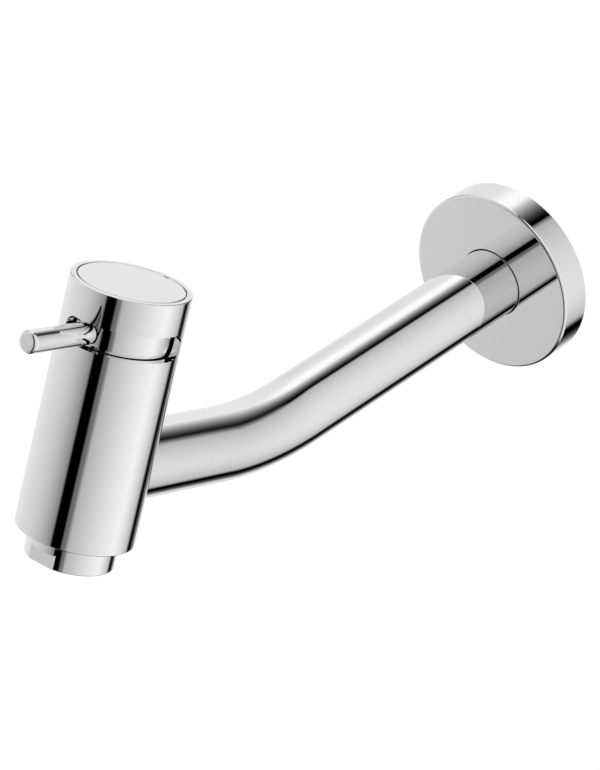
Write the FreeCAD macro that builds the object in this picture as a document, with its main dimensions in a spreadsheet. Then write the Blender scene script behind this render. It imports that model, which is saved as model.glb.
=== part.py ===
import FreeCAD, Part
import os
import re
import Sketcher

# Wall-mounted basin tap with a side lever in the head, in millimetres.
# The wall is the plane Y = 0, the tap stands out towards -Y, and +Z is up.
# The origin is the centre of the inlet nipple on the wall.

SIZES = {
    # Wall flange and its rings
    "flange_diameter": 70.0,
    "flange_thickness": 12.4,
    "flange_edge_round": 1.15,
    "flange_face_wall": 3.0,
    "flange_rim_wall": 5.2,
    "flange_hub_wall": 3.5,
    "flange_hub_depth": 7.4,
    "flange_bore_clearance": 0.3,
    "gasket_width": 3.4,
    "gasket_thickness": 1.2,
    "grip_ring_section": 2.0,
    "grip_groove_width": 2.6,
    "grip_groove_setback": 2.2,
    # Spout tube
    "tube_diameter": 26.4,
    "tube_wall": 2.0,
    "tube_wall_gap": 1.5,
    "spout_run": 145.9,
    "spout_arm": 88.3,
    "spout_rise": 20.0,
    "bend_radius": 125.0,
    # Inlet nipple, its rings and the bush that slides over it
    "inlet_thread_diameter": 20.955,
    "inlet_thread_length": 14.0,
    "inlet_thread_chamfer": 1.2,
    "inlet_collar_diameter": 25.0,
    "inlet_collar_thickness": 1.3,
    "inlet_bore_diameter": 11.6,
    "inlet_key_flats": 12.0,
    "inlet_key_depth": 9.0,
    "spigot_diameter": 18.0,
    "spigot_length": 30.0,
    "spigot_chamfer": 0.8,
    "inlet_ring_section": 1.8,
    "inlet_ring_setback": 11.5,
    "inlet_ring_spacing": 5.0,
    "inlet_groove_width": 2.4,
    "sleeve_length": 24.5,
    "sleeve_clearance": 0.05,
    "set_screw_diameter": 5.0,
    "set_screw_fit": 0.12,
    "set_screw_bite": 0.4,
    "set_screw_point": 0.9,
    "set_screw_setback": 4.6,
    "set_screw_key_flats": 2.5,
    "set_screw_key_depth": 2.0,
    "set_screw_sink": 0.2,
    "set_groove_width": 4.6,
    "set_groove_depth": 1.4,
    # Head shell and the slot for the lever
    "head_diameter": 41.0,
    "head_wall": 2.5,
    "head_above_spout": 66.8,
    "head_below_spout": 22.4,
    "head_top_chamfer": 0.5,
    "head_foot_chamfer": 0.4,
    "pin_drop": 15.9,
    "slot_clearance": 0.55,
    "slot_overtravel": 11.0,
    "lever_travel": 90.0,
    # Cover disc
    "cover_thickness": 2.0,
    "cover_gap": 0.4,
    "cover_ledge": 0.5,
    "cover_edge_chamfer": 0.2,
    "cover_spigot_gap": 0.6,
    "cover_spigot_depth": 3.6,
    "cover_spigot_wall": 2.6,
    "cover_ring_section": 1.5,
    "cover_groove_width": 2.0,
    "pry_notch_width": 2.2,
    "pry_notch_depth": 0.8,
    "pry_notch_height": 1.5,
    # Lever pin and the drum that carries it
    "pin_diameter": 7.8,
    "pin_reach": 46.5,
    "pin_tip_round": 1.4,
    "pin_seat_depth": 2.8,
    "pin_seat_grip": 0.3,
    "pin_ring_gap": 0.4,
    "pin_stud_diameter": 5.0,
    "pin_stud_length": 6.0,
    "pin_fit": 0.02,
    "hub_gap": 0.7,
    "hub_rise": 8.05,
    "hub_drop": 10.65,
    "hub_web_top": 2.45,
    "hub_web_bottom": 2.95,
    "hub_edge_chamfer": 0.4,
    "hub_screw_well_diameter": 9.2,
    "slide_ring_height": 3.2,
    "slide_ring_thickness": 2.2,
    "slide_ring_clearance": 0.35,
    "insert_diameter": 14.0,
    "insert_length": 9.4,
    "hub_screw_diameter": 4.0,
    "hub_screw_length": 13.5,
    "hub_screw_head_diameter": 7.2,
    "hub_screw_head_height": 2.6,
    "hub_screw_key_flats": 3.0,
    "hub_screw_key_depth": 1.6,
    "screw_fit": 0.02,
    "screw_hole_clearance": 0.25,
    # Valve body
    "body_fit": 0.02,
    "body_above_seat": 31.0,
    "body_foot_recess": 0.3,
    "seat_hole_diameter": 12.0,
    "chamber_diameter": 22.0,
    "chamber_headroom": 3.5,
    "port_diameter": 19.0,
    "port_seat_wall": 0.35,
    # Cartridge housing
    "cartridge_thread_diameter": 20.955,
    "cartridge_thread_length": 10.0,
    "cartridge_collar_diameter": 27.0,
    "cartridge_collar_height": 2.0,
    "cartridge_hexagon": 17.0,
    "cartridge_hexagon_height": 6.5,
    "cartridge_neck_diameter": 13.0,
    "cartridge_neck_height": 2.5,
    "cartridge_cage_diameter": 18.0,
    "cartridge_cage_wall": 1.2,
    "cartridge_seal_section": 1.8,
    "cage_foot_gap": 1.5,
    "cage_window_height": 5.0,
    "cage_window_angle": 64.0,
    "cage_windows": 4,
    "cage_roof_height": 18.5,
    # Ceramic discs and the base seal
    "disc_thickness": 3.2,
    "disc_gap": 0.03,
    "disc_rim_gap": 0.4,
    "disc_ear_width": 3.0,
    "disc_ear_gap": 0.1,
    "disc_port_inner": 4.0,
    "disc_port_outer": 12.0,
    "disc_port_angle": 74.0,
    "base_seal_height": 3.0,
    "base_seal_wall": 2.2,
    "base_seal_fit": 0.1,
    # Spindle and what it carries
    "spindle_diameter": 10.0,
    "spindle_clearance": 0.08,
    "spindle_shoulder_height": 2.0,
    "spindle_shoulder_gap": 0.2,
    "thrust_washer_thickness": 0.8,
    "drive_bar_width": 3.2,
    "drive_bar_length": 12.6,
    "drive_slot_depth": 1.0,
    "spline_diameter": 8.0,
    "spline_length": 10.0,
    "spline_teeth": 20,
    "spline_depth": 0.35,
    "spline_fit": 0.05,
    "spline_gap": 0.8,
    "spindle_end_gap": 1.3,
    "spindle_ring_section": 1.5,
    "spindle_ring_gap": 0.05,
    "spindle_ring_spacing": 4.5,
    "spindle_groove_width": 2.0,
    "clip_thickness": 0.8,
    "clip_lift": 0.3,
    "clip_groove_depth": 0.7,
    "clip_outer_diameter": 13.0,
    "clip_opening": 70.0,
    "clip_play": 0.05,
    # Outlet collar and the aerator in it
    "collar_diameter": 30.7,
    "collar_drop": 9.6,
    "collar_flats": 28.7,
    "collar_flats_start": 4.6,
    "collar_foot_chamfer": 0.5,
    "collar_thread_diameter": 28.0,
    "collar_thread_fit": 0.05,
    "collar_bore_diameter": 23.4,
    "collar_lip_width": 1.1,
    "collar_lip_height": 2.2,
    "aerator_gasket_thickness": 2.0,
    "aerator_gasket_bore": 18.0,
    "aerator_fit": 0.1,
    "aerator_wall": 1.4,
    "aerator_length": 12.4,
    "diffuser_thickness": 1.5,
    "diffuser_hole": 1.1,
    "diffuser_holes": 18,
    "diffuser_ring": 14.0,
    "regulator_height": 3.4,
    "regulator_groove_inner": 8.6,
    "regulator_groove_play": 0.7,
    "regulator_groove_depth": 2.3,
    "regulator_ring_section": 1.9,
    "regulator_hole": 1.3,
    "regulator_holes": 8,
    "strainer_thickness": 0.7,
    "strainer_hole": 1.2,
    "strainer_pitch": 2.2,
    "grid_thickness": 2.2,
    "grid_hole": 1.7,
    "grid_pitch": 2.2,
    "grid_retainer_height": 0.6,
    "grid_retainer_width": 0.6,
    "seal_clearance": 0.02,
}

# Lengths that follow from the sizes. Head levels are measured along the head from the spout's axis.
DERIVED = {
    "flange_radius": "flange_diameter / 2",
    "flange_bore": "tube_radius + flange_bore_clearance",
    "flange_hub_radius": "flange_bore + flange_hub_wall",
    "flange_hub_back": "flange_thickness - flange_hub_depth",
    "flange_plate_back": "flange_thickness - flange_face_wall",
    "flange_rim_inner": "flange_radius - flange_rim_wall",
    "gasket_centre": "flange_radius - flange_rim_wall / 2",
    "grip_level": "flange_hub_back + grip_groove_setback",
    "tube_radius": "tube_diameter / 2",
    "tube_bore": "tube_radius - tube_wall",
    "bend_setback": "bend_radius * tan(spout_rise / 2)",
    "tube_arm": "spout_arm - port_seat",
    "head_y": "-(spout_run + spout_arm * cos(spout_rise))",
    "head_z": "spout_arm * sin(spout_rise)",
    "inlet_radius": "inlet_thread_diameter / 2",
    "inlet_bore": "inlet_bore_diameter / 2",
    "spigot_radius": "spigot_diameter / 2",
    "sleeve_bore": "spigot_radius + sleeve_clearance",
    "inlet_groove_floor": "sleeve_bore - inlet_ring_section",
    "set_groove_floor": "spigot_radius - set_groove_depth",
    "set_screw_radius": "set_screw_diameter / 2",
    "set_screw_outer": "tube_radius - set_screw_sink",
    "set_screw_inner": "spigot_radius - set_screw_bite",
    "head_radius": "head_diameter / 2",
    "head_bore": "head_radius - head_wall",
    "head_foot": "-head_below_spout",
    "cover_seat": "head_bore + cover_ledge",
    "cover_step": "head_above_spout - cover_thickness",
    "cover_radius": "cover_seat - cover_gap",
    "cover_foot": "cover_step - cover_spigot_depth",
    "cover_spigot": "head_bore - cover_spigot_gap",
    "cover_ring_level": "cover_step - cover_spigot_depth / 2",
    "pin_level": "head_above_spout - pin_drop",
    "pin_radius": "pin_diameter / 2",
    "slot_half": "pin_radius + slot_clearance",
    "slot_first": "-slot_overtravel",
    "slot_last": "lever_travel + slot_overtravel",
    "slot_centre": "lever_travel / 2",
    "hub_radius": "head_bore - hub_gap",
    "hub_top": "pin_level + hub_rise",
    "hub_foot": "pin_level - hub_drop",
    "hub_shoulder": "hub_foot + slide_ring_height",
    "hub_web_ceiling": "pin_level + hub_web_top",
    "hub_web_floor": "pin_level - hub_web_bottom",
    "pin_seat": "hub_radius - pin_seat_depth",
    "pin_stud_tip": "pin_seat - pin_stud_length",
    "slide_ring_inner": "slide_ring_outer - slide_ring_thickness",
    "slide_ring_outer": "head_bore - slide_ring_clearance",
    "insert_radius": "insert_diameter / 2",
    "hub_screw_tip": "hub_web_ceiling - hub_screw_length",
    "hub_screw_radius": "hub_screw_diameter / 2",
    "body_radius": "head_bore - body_fit",
    "body_foot": "head_foot + body_foot_recess",
    "seat_level": "body_top - body_above_seat",
    "outlet_seat": "collar_top + aerator_gasket_thickness",
    "collar_socket": "collar_thread_diameter / 2 + collar_thread_fit",
    "chamber_radius": "chamber_diameter / 2",
    "chamber_roof": "port_diameter / 2 + chamber_headroom",
    "port_seat": "collar_socket + port_seat_wall",
    "cartridge_thread": "cartridge_thread_diameter / 2",
    "cartridge_socket": "cartridge_thread + screw_fit",
    "cartridge_seal_well": "body_top - cartridge_seal_section",
    "cartridge_top": "clip_foot - clip_lift",
    "cartridge_hexagon_top": "cartridge_top - cartridge_neck_height",
    "cartridge_hexagon_foot": "cartridge_hexagon_top - cartridge_hexagon_height",
    "body_top": "cartridge_hexagon_foot - cartridge_collar_height",
    "cage_radius": "cartridge_cage_diameter / 2",
    "cage_bore": "cage_radius - cartridge_cage_wall",
    "cage_foot": "seat_level + cage_foot_gap",
    "fixed_disc_foot": "seat_level + base_seal_height",
    "moving_disc_foot": "fixed_disc_foot + disc_thickness + disc_gap",
    "moving_disc_top": "moving_disc_foot + disc_thickness",
    "moving_disc_radius": "cage_bore - disc_rim_gap",
    "cage_window_foot": "moving_disc_top + disc_gap",
    "spindle_radius": "spindle_diameter / 2",
    "spindle_bore": "spindle_radius + spindle_clearance",
    "cage_roof": "seat_level + cage_roof_height",
    "washer_top": "cage_roof - spindle_shoulder_gap",
    "shoulder_top": "washer_top - thrust_washer_thickness",
    "shoulder_foot": "shoulder_top - spindle_shoulder_height",
    "shoulder_radius": "cage_bore - disc_rim_gap",
    "spindle_ring_first": "cage_roof + spindle_ring_spacing",
    "spindle_ring_outer": "spindle_bore - spindle_ring_gap",
    "spindle_groove_floor": "spindle_ring_outer - spindle_ring_section",
    "spindle_top": "hub_web_floor - spindle_end_gap",
    "spline_foot": "spindle_top - spline_length",
    "clip_top": "spline_foot - spline_gap",
    "clip_foot": "clip_top - clip_thickness",
    "clip_groove_radius": "spindle_radius - clip_groove_depth",
    "spline_radius": "spline_diameter / 2",
    "insert_foot": "hub_web_floor - insert_length",
    "collar_radius": "collar_diameter / 2",
    "collar_foot": "head_foot - collar_drop",
    "collar_thread": "collar_thread_diameter / 2",
    "collar_top": "collar_ledge + aerator_length",
    "collar_bore": "collar_bore_diameter / 2",
    "collar_ledge": "collar_foot + collar_lip_height",
    "collar_lip": "collar_bore - collar_lip_width",
    "regulator_groove_outer": "regulator_groove_inner + 2 * (regulator_ring_section + regulator_groove_play)",
    "aerator_radius": "collar_bore - aerator_fit",
    "aerator_bore": "aerator_radius - aerator_wall",
    "aerator_filling": "aerator_bore - aerator_fit",
    "strainer_level": "collar_top - strainer_thickness - seal_clearance",
    "regulator_level": "strainer_level - regulator_height",
    "diffuser_level": "regulator_level - diffuser_thickness",
    "grid_level": "collar_ledge + grid_retainer_height",
}

WORD = re.compile(r"[a-z]+(?:_[a-z]+)+")
X_AXIS = FreeCAD.Vector(1, 0, 0)
Z_AXIS = FreeCAD.Vector(0, 0, 1)
FRONT = "0"
SIDE = "90"
BACK = "180"
OVERCUT = "2"
# How far the middle of a rounding stands in from its corner, as a share of the radius
ROUND_INSET = "0.293"
HOLE_RINGS = 4

# Frames of the sub-parts: the base point's Y and Z, and the turn about +X.
# In the wall frame Z points away from the wall and Y up. In the head frame Z points up the head and
# the lever's rest direction is -Y. In the pin frame Z points out along the resting pin.
WALL = ("0", "0", "90")
HEAD = ("head_y", "head_z", "-spout_rise")
PIN = ("head_y + pin_level * sin(spout_rise)", "head_z + pin_level * cos(spout_rise)", "90 - spout_rise")
SET_SCREW = ("-set_screw_setback", "0", "180")

doc = FreeCAD.newDocument("basin_tap")
sheet = doc.addObject("Spreadsheet::Sheet", "Sizes")


def fill_sheet():
    """Write each size and its name to the sheet."""
    for row, (name, size) in enumerate(SIZES.items(), start=1):
        sheet.set(f"A{row}", name)
        sheet.set(f"B{row}", str(size))
        sheet.setAlias(f"B{row}", name)
    doc.recompute()


def bound(formula):
    """Give a formula of size names as an expression on the sheet."""
    def swap(match):
        word = match.group(0)
        return f"({bound(DERIVED[word])})" if word in DERIVED else f"Sizes.{word}"
    return WORD.sub(swap, formula)


def number(formula):
    """Give a formula's present value."""
    return float(sheet.evalExpression(bound(formula)))


def place(item, frame):
    """Bind an object's placement to a frame."""
    base_y, base_z, turn = frame
    base = FreeCAD.Vector(0, number(base_y), number(base_z))
    item.Placement = FreeCAD.Placement(base, FreeCAD.Rotation(X_AXIS, number(turn)))
    item.setExpression("Placement.Base.y", bound(base_y))
    item.setExpression("Placement.Base.z", bound(base_z))
    item.setExpression("Placement.Rotation.Angle", bound(turn))


def new_body(label, frame):
    """Start a sub-part in its frame."""
    body = doc.addObject("PartDesign::Body", label)
    body.Label = label
    place(body, frame)
    return body


def origin_feature(body, role):
    """Give one of the body's own origin planes or axes."""
    return [item for item in body.Origin.OriginFeatures if item.Role == role][0]


def flat_sketch(body, level="0"):
    """Attach a sketch across the body's axis at a level."""
    sketch = body.newObject("Sketcher::SketchObject", "Sketch")
    sketch.AttachmentSupport = (origin_feature(body, "XY_Plane"), [""])
    sketch.MapMode = "FlatFace"
    sketch.setExpression("AttachmentOffset.Base.z", bound(level))
    return sketch


def upright_sketch(body, angle=FRONT, distance="0"):
    """Attach a sketch along the body's axis, facing an angle from the front, at a distance out."""
    sketch = body.newObject("Sketcher::SketchObject", "Sketch")
    sketch.AttachmentSupport = (origin_feature(body, "XZ_Plane"), [""])
    sketch.MapMode = "FlatFace"
    turn = FreeCAD.Rotation(FreeCAD.Vector(0, 1, 0), number(angle))
    sketch.AttachmentOffset = FreeCAD.Placement(FreeCAD.Vector(), turn)
    sketch.setExpression("AttachmentOffset.Base.x", bound(f"({distance}) * sin({angle})"))
    sketch.setExpression("AttachmentOffset.Base.z", bound(f"({distance}) * cos({angle})"))
    sketch.setExpression("AttachmentOffset.Rotation.Angle", bound(angle))
    return sketch


def constrain(sketch, kind, places, formula):
    """Add a dimension to a sketch and bind it to a formula."""
    index = sketch.addConstraint(Sketcher.Constraint(kind, *places, number(formula)))
    sketch.setExpression(f"Constraints[{index}]", bound(formula))


def draw_outline(sketch, corners):
    """Draw a closed outline whose corners are pairs of formulas."""
    first = sketch.GeometryCount
    count = len(corners)
    points = [FreeCAD.Vector(number(across), number(along), 0) for across, along in corners]
    for index in range(count):
        sketch.addGeometry(Part.LineSegment(points[index], points[(index + 1) % count]), False)
    for index, (across, along) in enumerate(corners):
        line = first + index
        after = first + (index + 1) % count
        sketch.addConstraint(Sketcher.Constraint("Coincident", line, 2, after, 1))
        constrain(sketch, "DistanceX", (-1, 1, line, 1), across)
        constrain(sketch, "DistanceY", (-1, 1, line, 1), along)


def draw_circle(sketch, radius, across="0", along="0"):
    """Draw a circle whose radius and centre are formulas."""
    centre = FreeCAD.Vector(number(across), number(along), 0)
    circle = sketch.addGeometry(Part.Circle(centre, Z_AXIS, number(radius)), False)
    constrain(sketch, "DistanceX", (-1, 1, circle, 3), across)
    constrain(sketch, "DistanceY", (-1, 1, circle, 3), along)
    constrain(sketch, "Radius", (circle,), radius)


def rectangle(low_across, high_across, low_along, high_along):
    """Give the four corners of a rectangle."""
    return [(low_across, low_along), (high_across, low_along), (high_across, high_along),
            (low_across, high_along)]


def hexagon(flats):
    """Give the six corners of a hexagon of a size across flats."""
    reach = f"({flats}) / sqrt(3)"
    return [(f"{reach} * cos({turn})", f"{reach} * sin({turn})") for turn in range(0, 360, 60)]


def rounding(radius, level, width):
    """Three corners that round off the outer top edge of a turned outline."""
    inset = f"{ROUND_INSET} * {width}"
    return [(radius, f"{level} - {width}"), (f"{radius} - {inset}", f"{level} - {inset}"),
            (f"{radius} - {width}", level)]


def turned(body, corners, kind="PartDesign::Revolution", span="360", angle=FRONT):
    """Turn an outline of (radius, level) corners about the body's axis over a span of degrees."""
    sketch = upright_sketch(body, f"{angle} - {SIDE}" if span != "360" else FRONT)
    draw_outline(sketch, corners)
    feature = body.newObject(kind, "Turned")
    feature.Profile = sketch
    feature.ReferenceAxis = (sketch, ["V_Axis"])
    feature.Midplane = span != "360"
    feature.setExpression("Angle", bound(span))
    return feature


def groove(body, inner, outer, foot, top, span="360", angle=FRONT):
    """Cut a turned rectangle, round the whole body or over a span about an angle from the front."""
    return turned(body, rectangle(inner, outer, foot, top), "PartDesign::Groove", span, angle)


def extruded(body, kind, sketch, length, reverse=False):
    """Pad or pocket a sketch by a length."""
    feature = body.newObject(kind, "Extruded")
    feature.Profile = sketch
    feature.Reversed = reverse
    feature.setExpression("Length", bound(length))
    return feature


def flat_pad(body, corners, foot, top, bore=None):
    """Add a straight block between two levels, with a round bore if one is given."""
    sketch = flat_sketch(body, foot)
    draw_outline(sketch, corners)
    if bore:
        draw_circle(sketch, bore)
    return extruded(body, "PartDesign::Pad", sketch, f"{top} - ({foot})")


def flat_pocket(body, outlines, foot, top):
    """Cut straight outlines away between two levels."""
    sketch = flat_sketch(body, top)
    for corners in outlines:
        draw_outline(sketch, corners)
    return extruded(body, "PartDesign::Pocket", sketch, f"{top} - ({foot})")


def axial_hole(body, radius, offset, foot, top):
    """Drill along the body's axis between two levels, at an offset from the axis."""
    sketch = flat_sketch(body, top)
    draw_circle(sketch, radius, offset)
    return extruded(body, "PartDesign::Pocket", sketch, f"{top} - ({foot})")


def radial_hole(body, radius, level, near, far, angle=FRONT):
    """Drill square to the body's axis, from a near distance outwards, at an angle from the front."""
    sketch = upright_sketch(body, angle, near)
    draw_circle(sketch, radius, "0", level)
    return extruded(body, "PartDesign::Pocket", sketch, f"{far} - ({near})", reverse=True)


def repeat_round(body, feature, count):
    """Repeat a feature evenly about the body's axis."""
    pattern = body.newObject("PartDesign::PolarPattern", "Round")
    pattern.Originals = [feature]
    pattern.Axis = (origin_feature(body, "Z_Axis"), [""])
    pattern.Angle = 360
    pattern.setExpression("Occurrences", bound(count))
    body.Tip = pattern


def hole_field(body, radius, pitch, rings, foot, top):
    """Drill a centre hole and rings of six, twelve, eighteen and so on around it."""
    axial_hole(body, radius, "0", foot, top)
    for ring in range(1, rings + 1):
        hole = axial_hole(body, radius, f"{pitch} * {ring}", foot, top)
        repeat_round(body, hole, str(6 * ring))


def ring_part(label, frame, inner, outer, foot, top):
    """Make a plain ring of rectangular section."""
    body = new_body(label, frame)
    turned(body, rectangle(inner, outer, foot, top))
    return body


def seal_ring(name, frame, inner, section, level):
    """Make a round rubber ring from its inner radius, section and level."""
    ring = doc.addObject("Part::Torus", name)
    base_y, base_z, turn = frame
    lift = f"({level})"
    place(ring, (f"{base_y} - {lift} * sin({turn})", f"{base_z} + {lift} * cos({turn})", turn))
    ring.setExpression("Radius1", bound(f"{inner} + {section} / 2"))
    ring.setExpression("Radius2", bound(f"{section} / 2 - seal_clearance"))
    ring.Label = name
    return ring


def seal_ring_pair(label, frame, inner, section, first, spacing):
    """Make two rubber rings that share one node."""
    rings = [
        seal_ring(f"{label}_{place_name}", frame, inner, section, f"{first} + {step} * {spacing}")
        for step, place_name in enumerate(("near", "far"))
    ]
    pair = doc.addObject("Part::Compound", label)
    pair.Links = rings
    pair.Label = label
    return pair


# Wall flange, inlet and spout


def wall_flange():
    """Hollow round cover with a hub round the tube, and grooves for its gasket and grip ring."""
    body = new_body("wall_flange", WALL)
    turned(body, [
        ("flange_bore", "flange_hub_back"),
        ("flange_hub_radius", "flange_hub_back"),
        ("flange_hub_radius", "flange_plate_back"),
        ("flange_rim_inner", "flange_plate_back"),
        ("flange_rim_inner", "0"),
        ("flange_radius", "0"),
        *rounding("flange_radius", "flange_thickness", "flange_edge_round"),
        ("flange_bore", "flange_thickness"),
    ])
    gasket_reach = "(gasket_width / 2 + flange_bore_clearance)"
    groove(body, f"gasket_centre - {gasket_reach}", f"gasket_centre + {gasket_reach}",
           "0", "gasket_thickness")
    groove(body, "tube_radius", "tube_radius + grip_ring_section",
           "grip_level - grip_groove_width / 2", "grip_level + grip_groove_width / 2")
    return body


def flange_wall_gasket():
    """Flat rubber ring between the flange's rim and the wall."""
    return ring_part("flange_wall_gasket", WALL, "gasket_centre - gasket_width / 2",
                     "gasket_centre + gasket_width / 2", "0", "gasket_thickness")


def flange_grip_ring():
    """Rubber ring in the flange's hub that holds the flange on the tube."""
    return seal_ring("flange_grip_ring", WALL, "tube_radius", "grip_ring_section", "grip_level")


def inlet_nipple():
    """Threaded nipple in the wall, whose smooth spigot carries the spout."""
    body = new_body("inlet_nipple", WALL)
    turned(body, [
        ("inlet_bore", "-inlet_thread_length"),
        ("inlet_radius - inlet_thread_chamfer", "-inlet_thread_length"),
        ("inlet_radius", "inlet_thread_chamfer - inlet_thread_length"),
        ("inlet_radius", "0"),
        ("inlet_collar_diameter / 2", "0"),
        ("inlet_collar_diameter / 2", "inlet_collar_thickness"),
        ("spigot_radius", "inlet_collar_thickness"),
        ("spigot_radius", "spigot_length - spigot_chamfer"),
        ("spigot_radius - spigot_chamfer", "spigot_length"),
        ("inlet_bore", "spigot_length"),
    ])
    turned(body, [
        ("set_groove_floor", "set_screw_setback - set_groove_width / 2 + set_groove_depth"),
        ("spigot_radius", "set_screw_setback - set_groove_width / 2"),
        ("spigot_radius", "set_screw_setback + set_groove_width / 2"),
        ("set_groove_floor", "set_screw_setback + set_groove_width / 2 - set_groove_depth"),
    ], "PartDesign::Groove")
    for step in range(2):
        level = f"inlet_ring_setback + {step} * inlet_ring_spacing"
        groove(body, "inlet_groove_floor", "spigot_radius",
               f"{level} - inlet_groove_width / 2", f"{level} + inlet_groove_width / 2")
    flat_pocket(body, [hexagon("inlet_key_flats")], "spigot_length - inlet_key_depth", "spigot_length")
    return body


def inlet_o_rings():
    """Two rubber rings between the nipple and the spout's bush."""
    return seal_ring_pair("inlet_o_rings", WALL, "inlet_groove_floor", "inlet_ring_section",
                          "inlet_ring_setback", "inlet_ring_spacing")


def set_screw_hole(body):
    """Drill the set screw's hole in the underside of a sleeve or tube."""
    radial_hole(body, "set_screw_radius + set_screw_fit", "set_screw_setback", "0",
                f"tube_radius + {OVERCUT}")


def tube_end_sleeve():
    """Bush in the tube's wall end, bored for the nipple."""
    body = ring_part("tube_end_sleeve", WALL, "sleeve_bore", "tube_bore - body_fit",
                     "tube_wall_gap", "tube_wall_gap + sleeve_length")
    set_screw_hole(body)
    return body


def spout_set_screw():
    """Headless screw with a hexagon socket and a blunt point."""
    body = new_body("spout_set_screw", SET_SCREW)
    turned(body, [
        ("0", "set_screw_inner"),
        ("set_screw_radius - set_screw_point", "set_screw_inner"),
        ("set_screw_radius", "set_screw_inner + set_screw_point"),
        ("set_screw_radius", "set_screw_outer"),
        ("0", "set_screw_outer"),
    ])
    flat_pocket(body, [hexagon("set_screw_key_flats")], "set_screw_outer - set_screw_key_depth",
                "set_screw_outer")
    return body


def spout_path(body):
    """Draw the tube's centre line: straight from the wall, one bend, straight to the head."""
    path = body.newObject("Sketcher::SketchObject", "Path")
    path.AttachmentSupport = (origin_feature(body, "YZ_Plane"), [""])
    path.MapMode = "FlatFace"
    rise = FreeCAD.Units.Quantity(f"{number('spout_rise')} deg").getValueAs("rad").Value
    radius = number("bend_radius")
    bend_start = number("spout_run - bend_setback")
    start = FreeCAD.Vector(0, number("tube_wall_gap"), 0)
    bend = Part.ArcOfCircle(
        Part.Circle(FreeCAD.Vector(radius, bend_start, 0), Z_AXIS, radius),
        FreeCAD.Units.Quantity("180 deg").getValueAs("rad").Value - rise,
        FreeCAD.Units.Quantity("180 deg").getValueAs("rad").Value,
    )
    bend_end = bend.StartPoint
    heading = FreeCAD.Rotation(Z_AXIS, -number("spout_rise")).multVec(FreeCAD.Vector(0, 1, 0))
    run = path.addGeometry(Part.LineSegment(start, FreeCAD.Vector(0, bend_start, 0)), False)
    arc = path.addGeometry(bend, False)
    arm_line = Part.LineSegment(bend_end, bend_end + heading * number("tube_arm - bend_setback"))
    arm = path.addGeometry(arm_line, False)
    path.addConstraint(Sketcher.Constraint("Vertical", run))
    path.addConstraint(Sketcher.Constraint("PointOnObject", run, 1, -2))
    path.addConstraint(Sketcher.Constraint("Tangent", run, 2, arc, 2))
    path.addConstraint(Sketcher.Constraint("Tangent", arc, 1, arm, 1))
    constrain(path, "DistanceY", (-1, 1, run, 1), "tube_wall_gap")
    constrain(path, "DistanceY", (-1, 1, run, 2), "spout_run - bend_setback")
    constrain(path, "Radius", (arc,), "bend_radius")
    constrain(path, "Distance", (arm,), "tube_arm - bend_setback")
    index = path.addConstraint(Sketcher.Constraint("Angle", arm, 1, -2, 1, rise))
    path.setExpression(f"Constraints[{index}]", bound("spout_rise"))
    return path


def spout_tube():
    """Bent round tube from the wall to the valve body's port."""
    body = new_body("spout_tube", WALL)
    path = spout_path(body)
    section = flat_sketch(body, "tube_wall_gap")
    draw_circle(section, "tube_radius")
    draw_circle(section, "tube_bore")
    doc.recompute()
    pipe = body.newObject("PartDesign::AdditivePipe", "Pipe")
    pipe.Profile = section
    pipe.Spine = (path, ["Edge1", "Edge2", "Edge3"])
    set_screw_hole(body)
    return body


# Head shell, valve body and cover


def head_shell():
    """Outer tube of the head: port for the spout, slot for the lever and seat for the cover."""
    body = new_body("head_shell", HEAD)
    turned(body, [
        ("head_bore", "head_foot"),
        ("head_radius - head_foot_chamfer", "head_foot"),
        ("head_radius", "head_foot + head_foot_chamfer"),
        ("head_radius", "head_above_spout - head_top_chamfer"),
        ("head_radius - head_top_chamfer", "head_above_spout"),
        ("cover_seat", "head_above_spout"),
        ("cover_seat", "cover_step"),
        ("head_bore", "cover_step"),
    ])
    outside = f"head_radius + {OVERCUT}"
    radial_hole(body, "tube_radius + body_fit", "0", "0", outside, BACK)
    groove(body, "hub_radius", outside, "pin_level - slot_half", "pin_level + slot_half",
           "slot_last - (slot_first)", "slot_centre")
    for slot_end in ("slot_first", "slot_last"):
        radial_hole(body, "slot_half", "pin_level", "0", outside, slot_end)
    return body


def valve_body():
    """Brass core of the head: water chamber, seat, port for the tube, and two threaded sockets."""
    body = new_body("valve_body", HEAD)
    seal_well = "cartridge_thread + cartridge_seal_section + seal_clearance"
    turned(body, [
        ("collar_socket", "body_foot"),
        ("body_radius", "body_foot"),
        ("body_radius", "body_top"),
        (seal_well, "body_top"),
        (seal_well, "cartridge_seal_well"),
        ("cartridge_socket", "cartridge_seal_well"),
        ("cartridge_socket", "chamber_roof"),
        ("chamber_radius", "chamber_roof"),
        ("chamber_radius", "seat_level"),
        ("seat_hole_diameter / 2", "seat_level"),
        ("seat_hole_diameter / 2", "outlet_seat"),
        ("collar_socket", "outlet_seat"),
    ])
    outside = f"body_radius + {OVERCUT}"
    radial_hole(body, "port_diameter / 2", "0", "cage_radius", outside, BACK)
    radial_hole(body, "tube_radius + body_fit", "0", "port_seat", outside, BACK)
    return body


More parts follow.
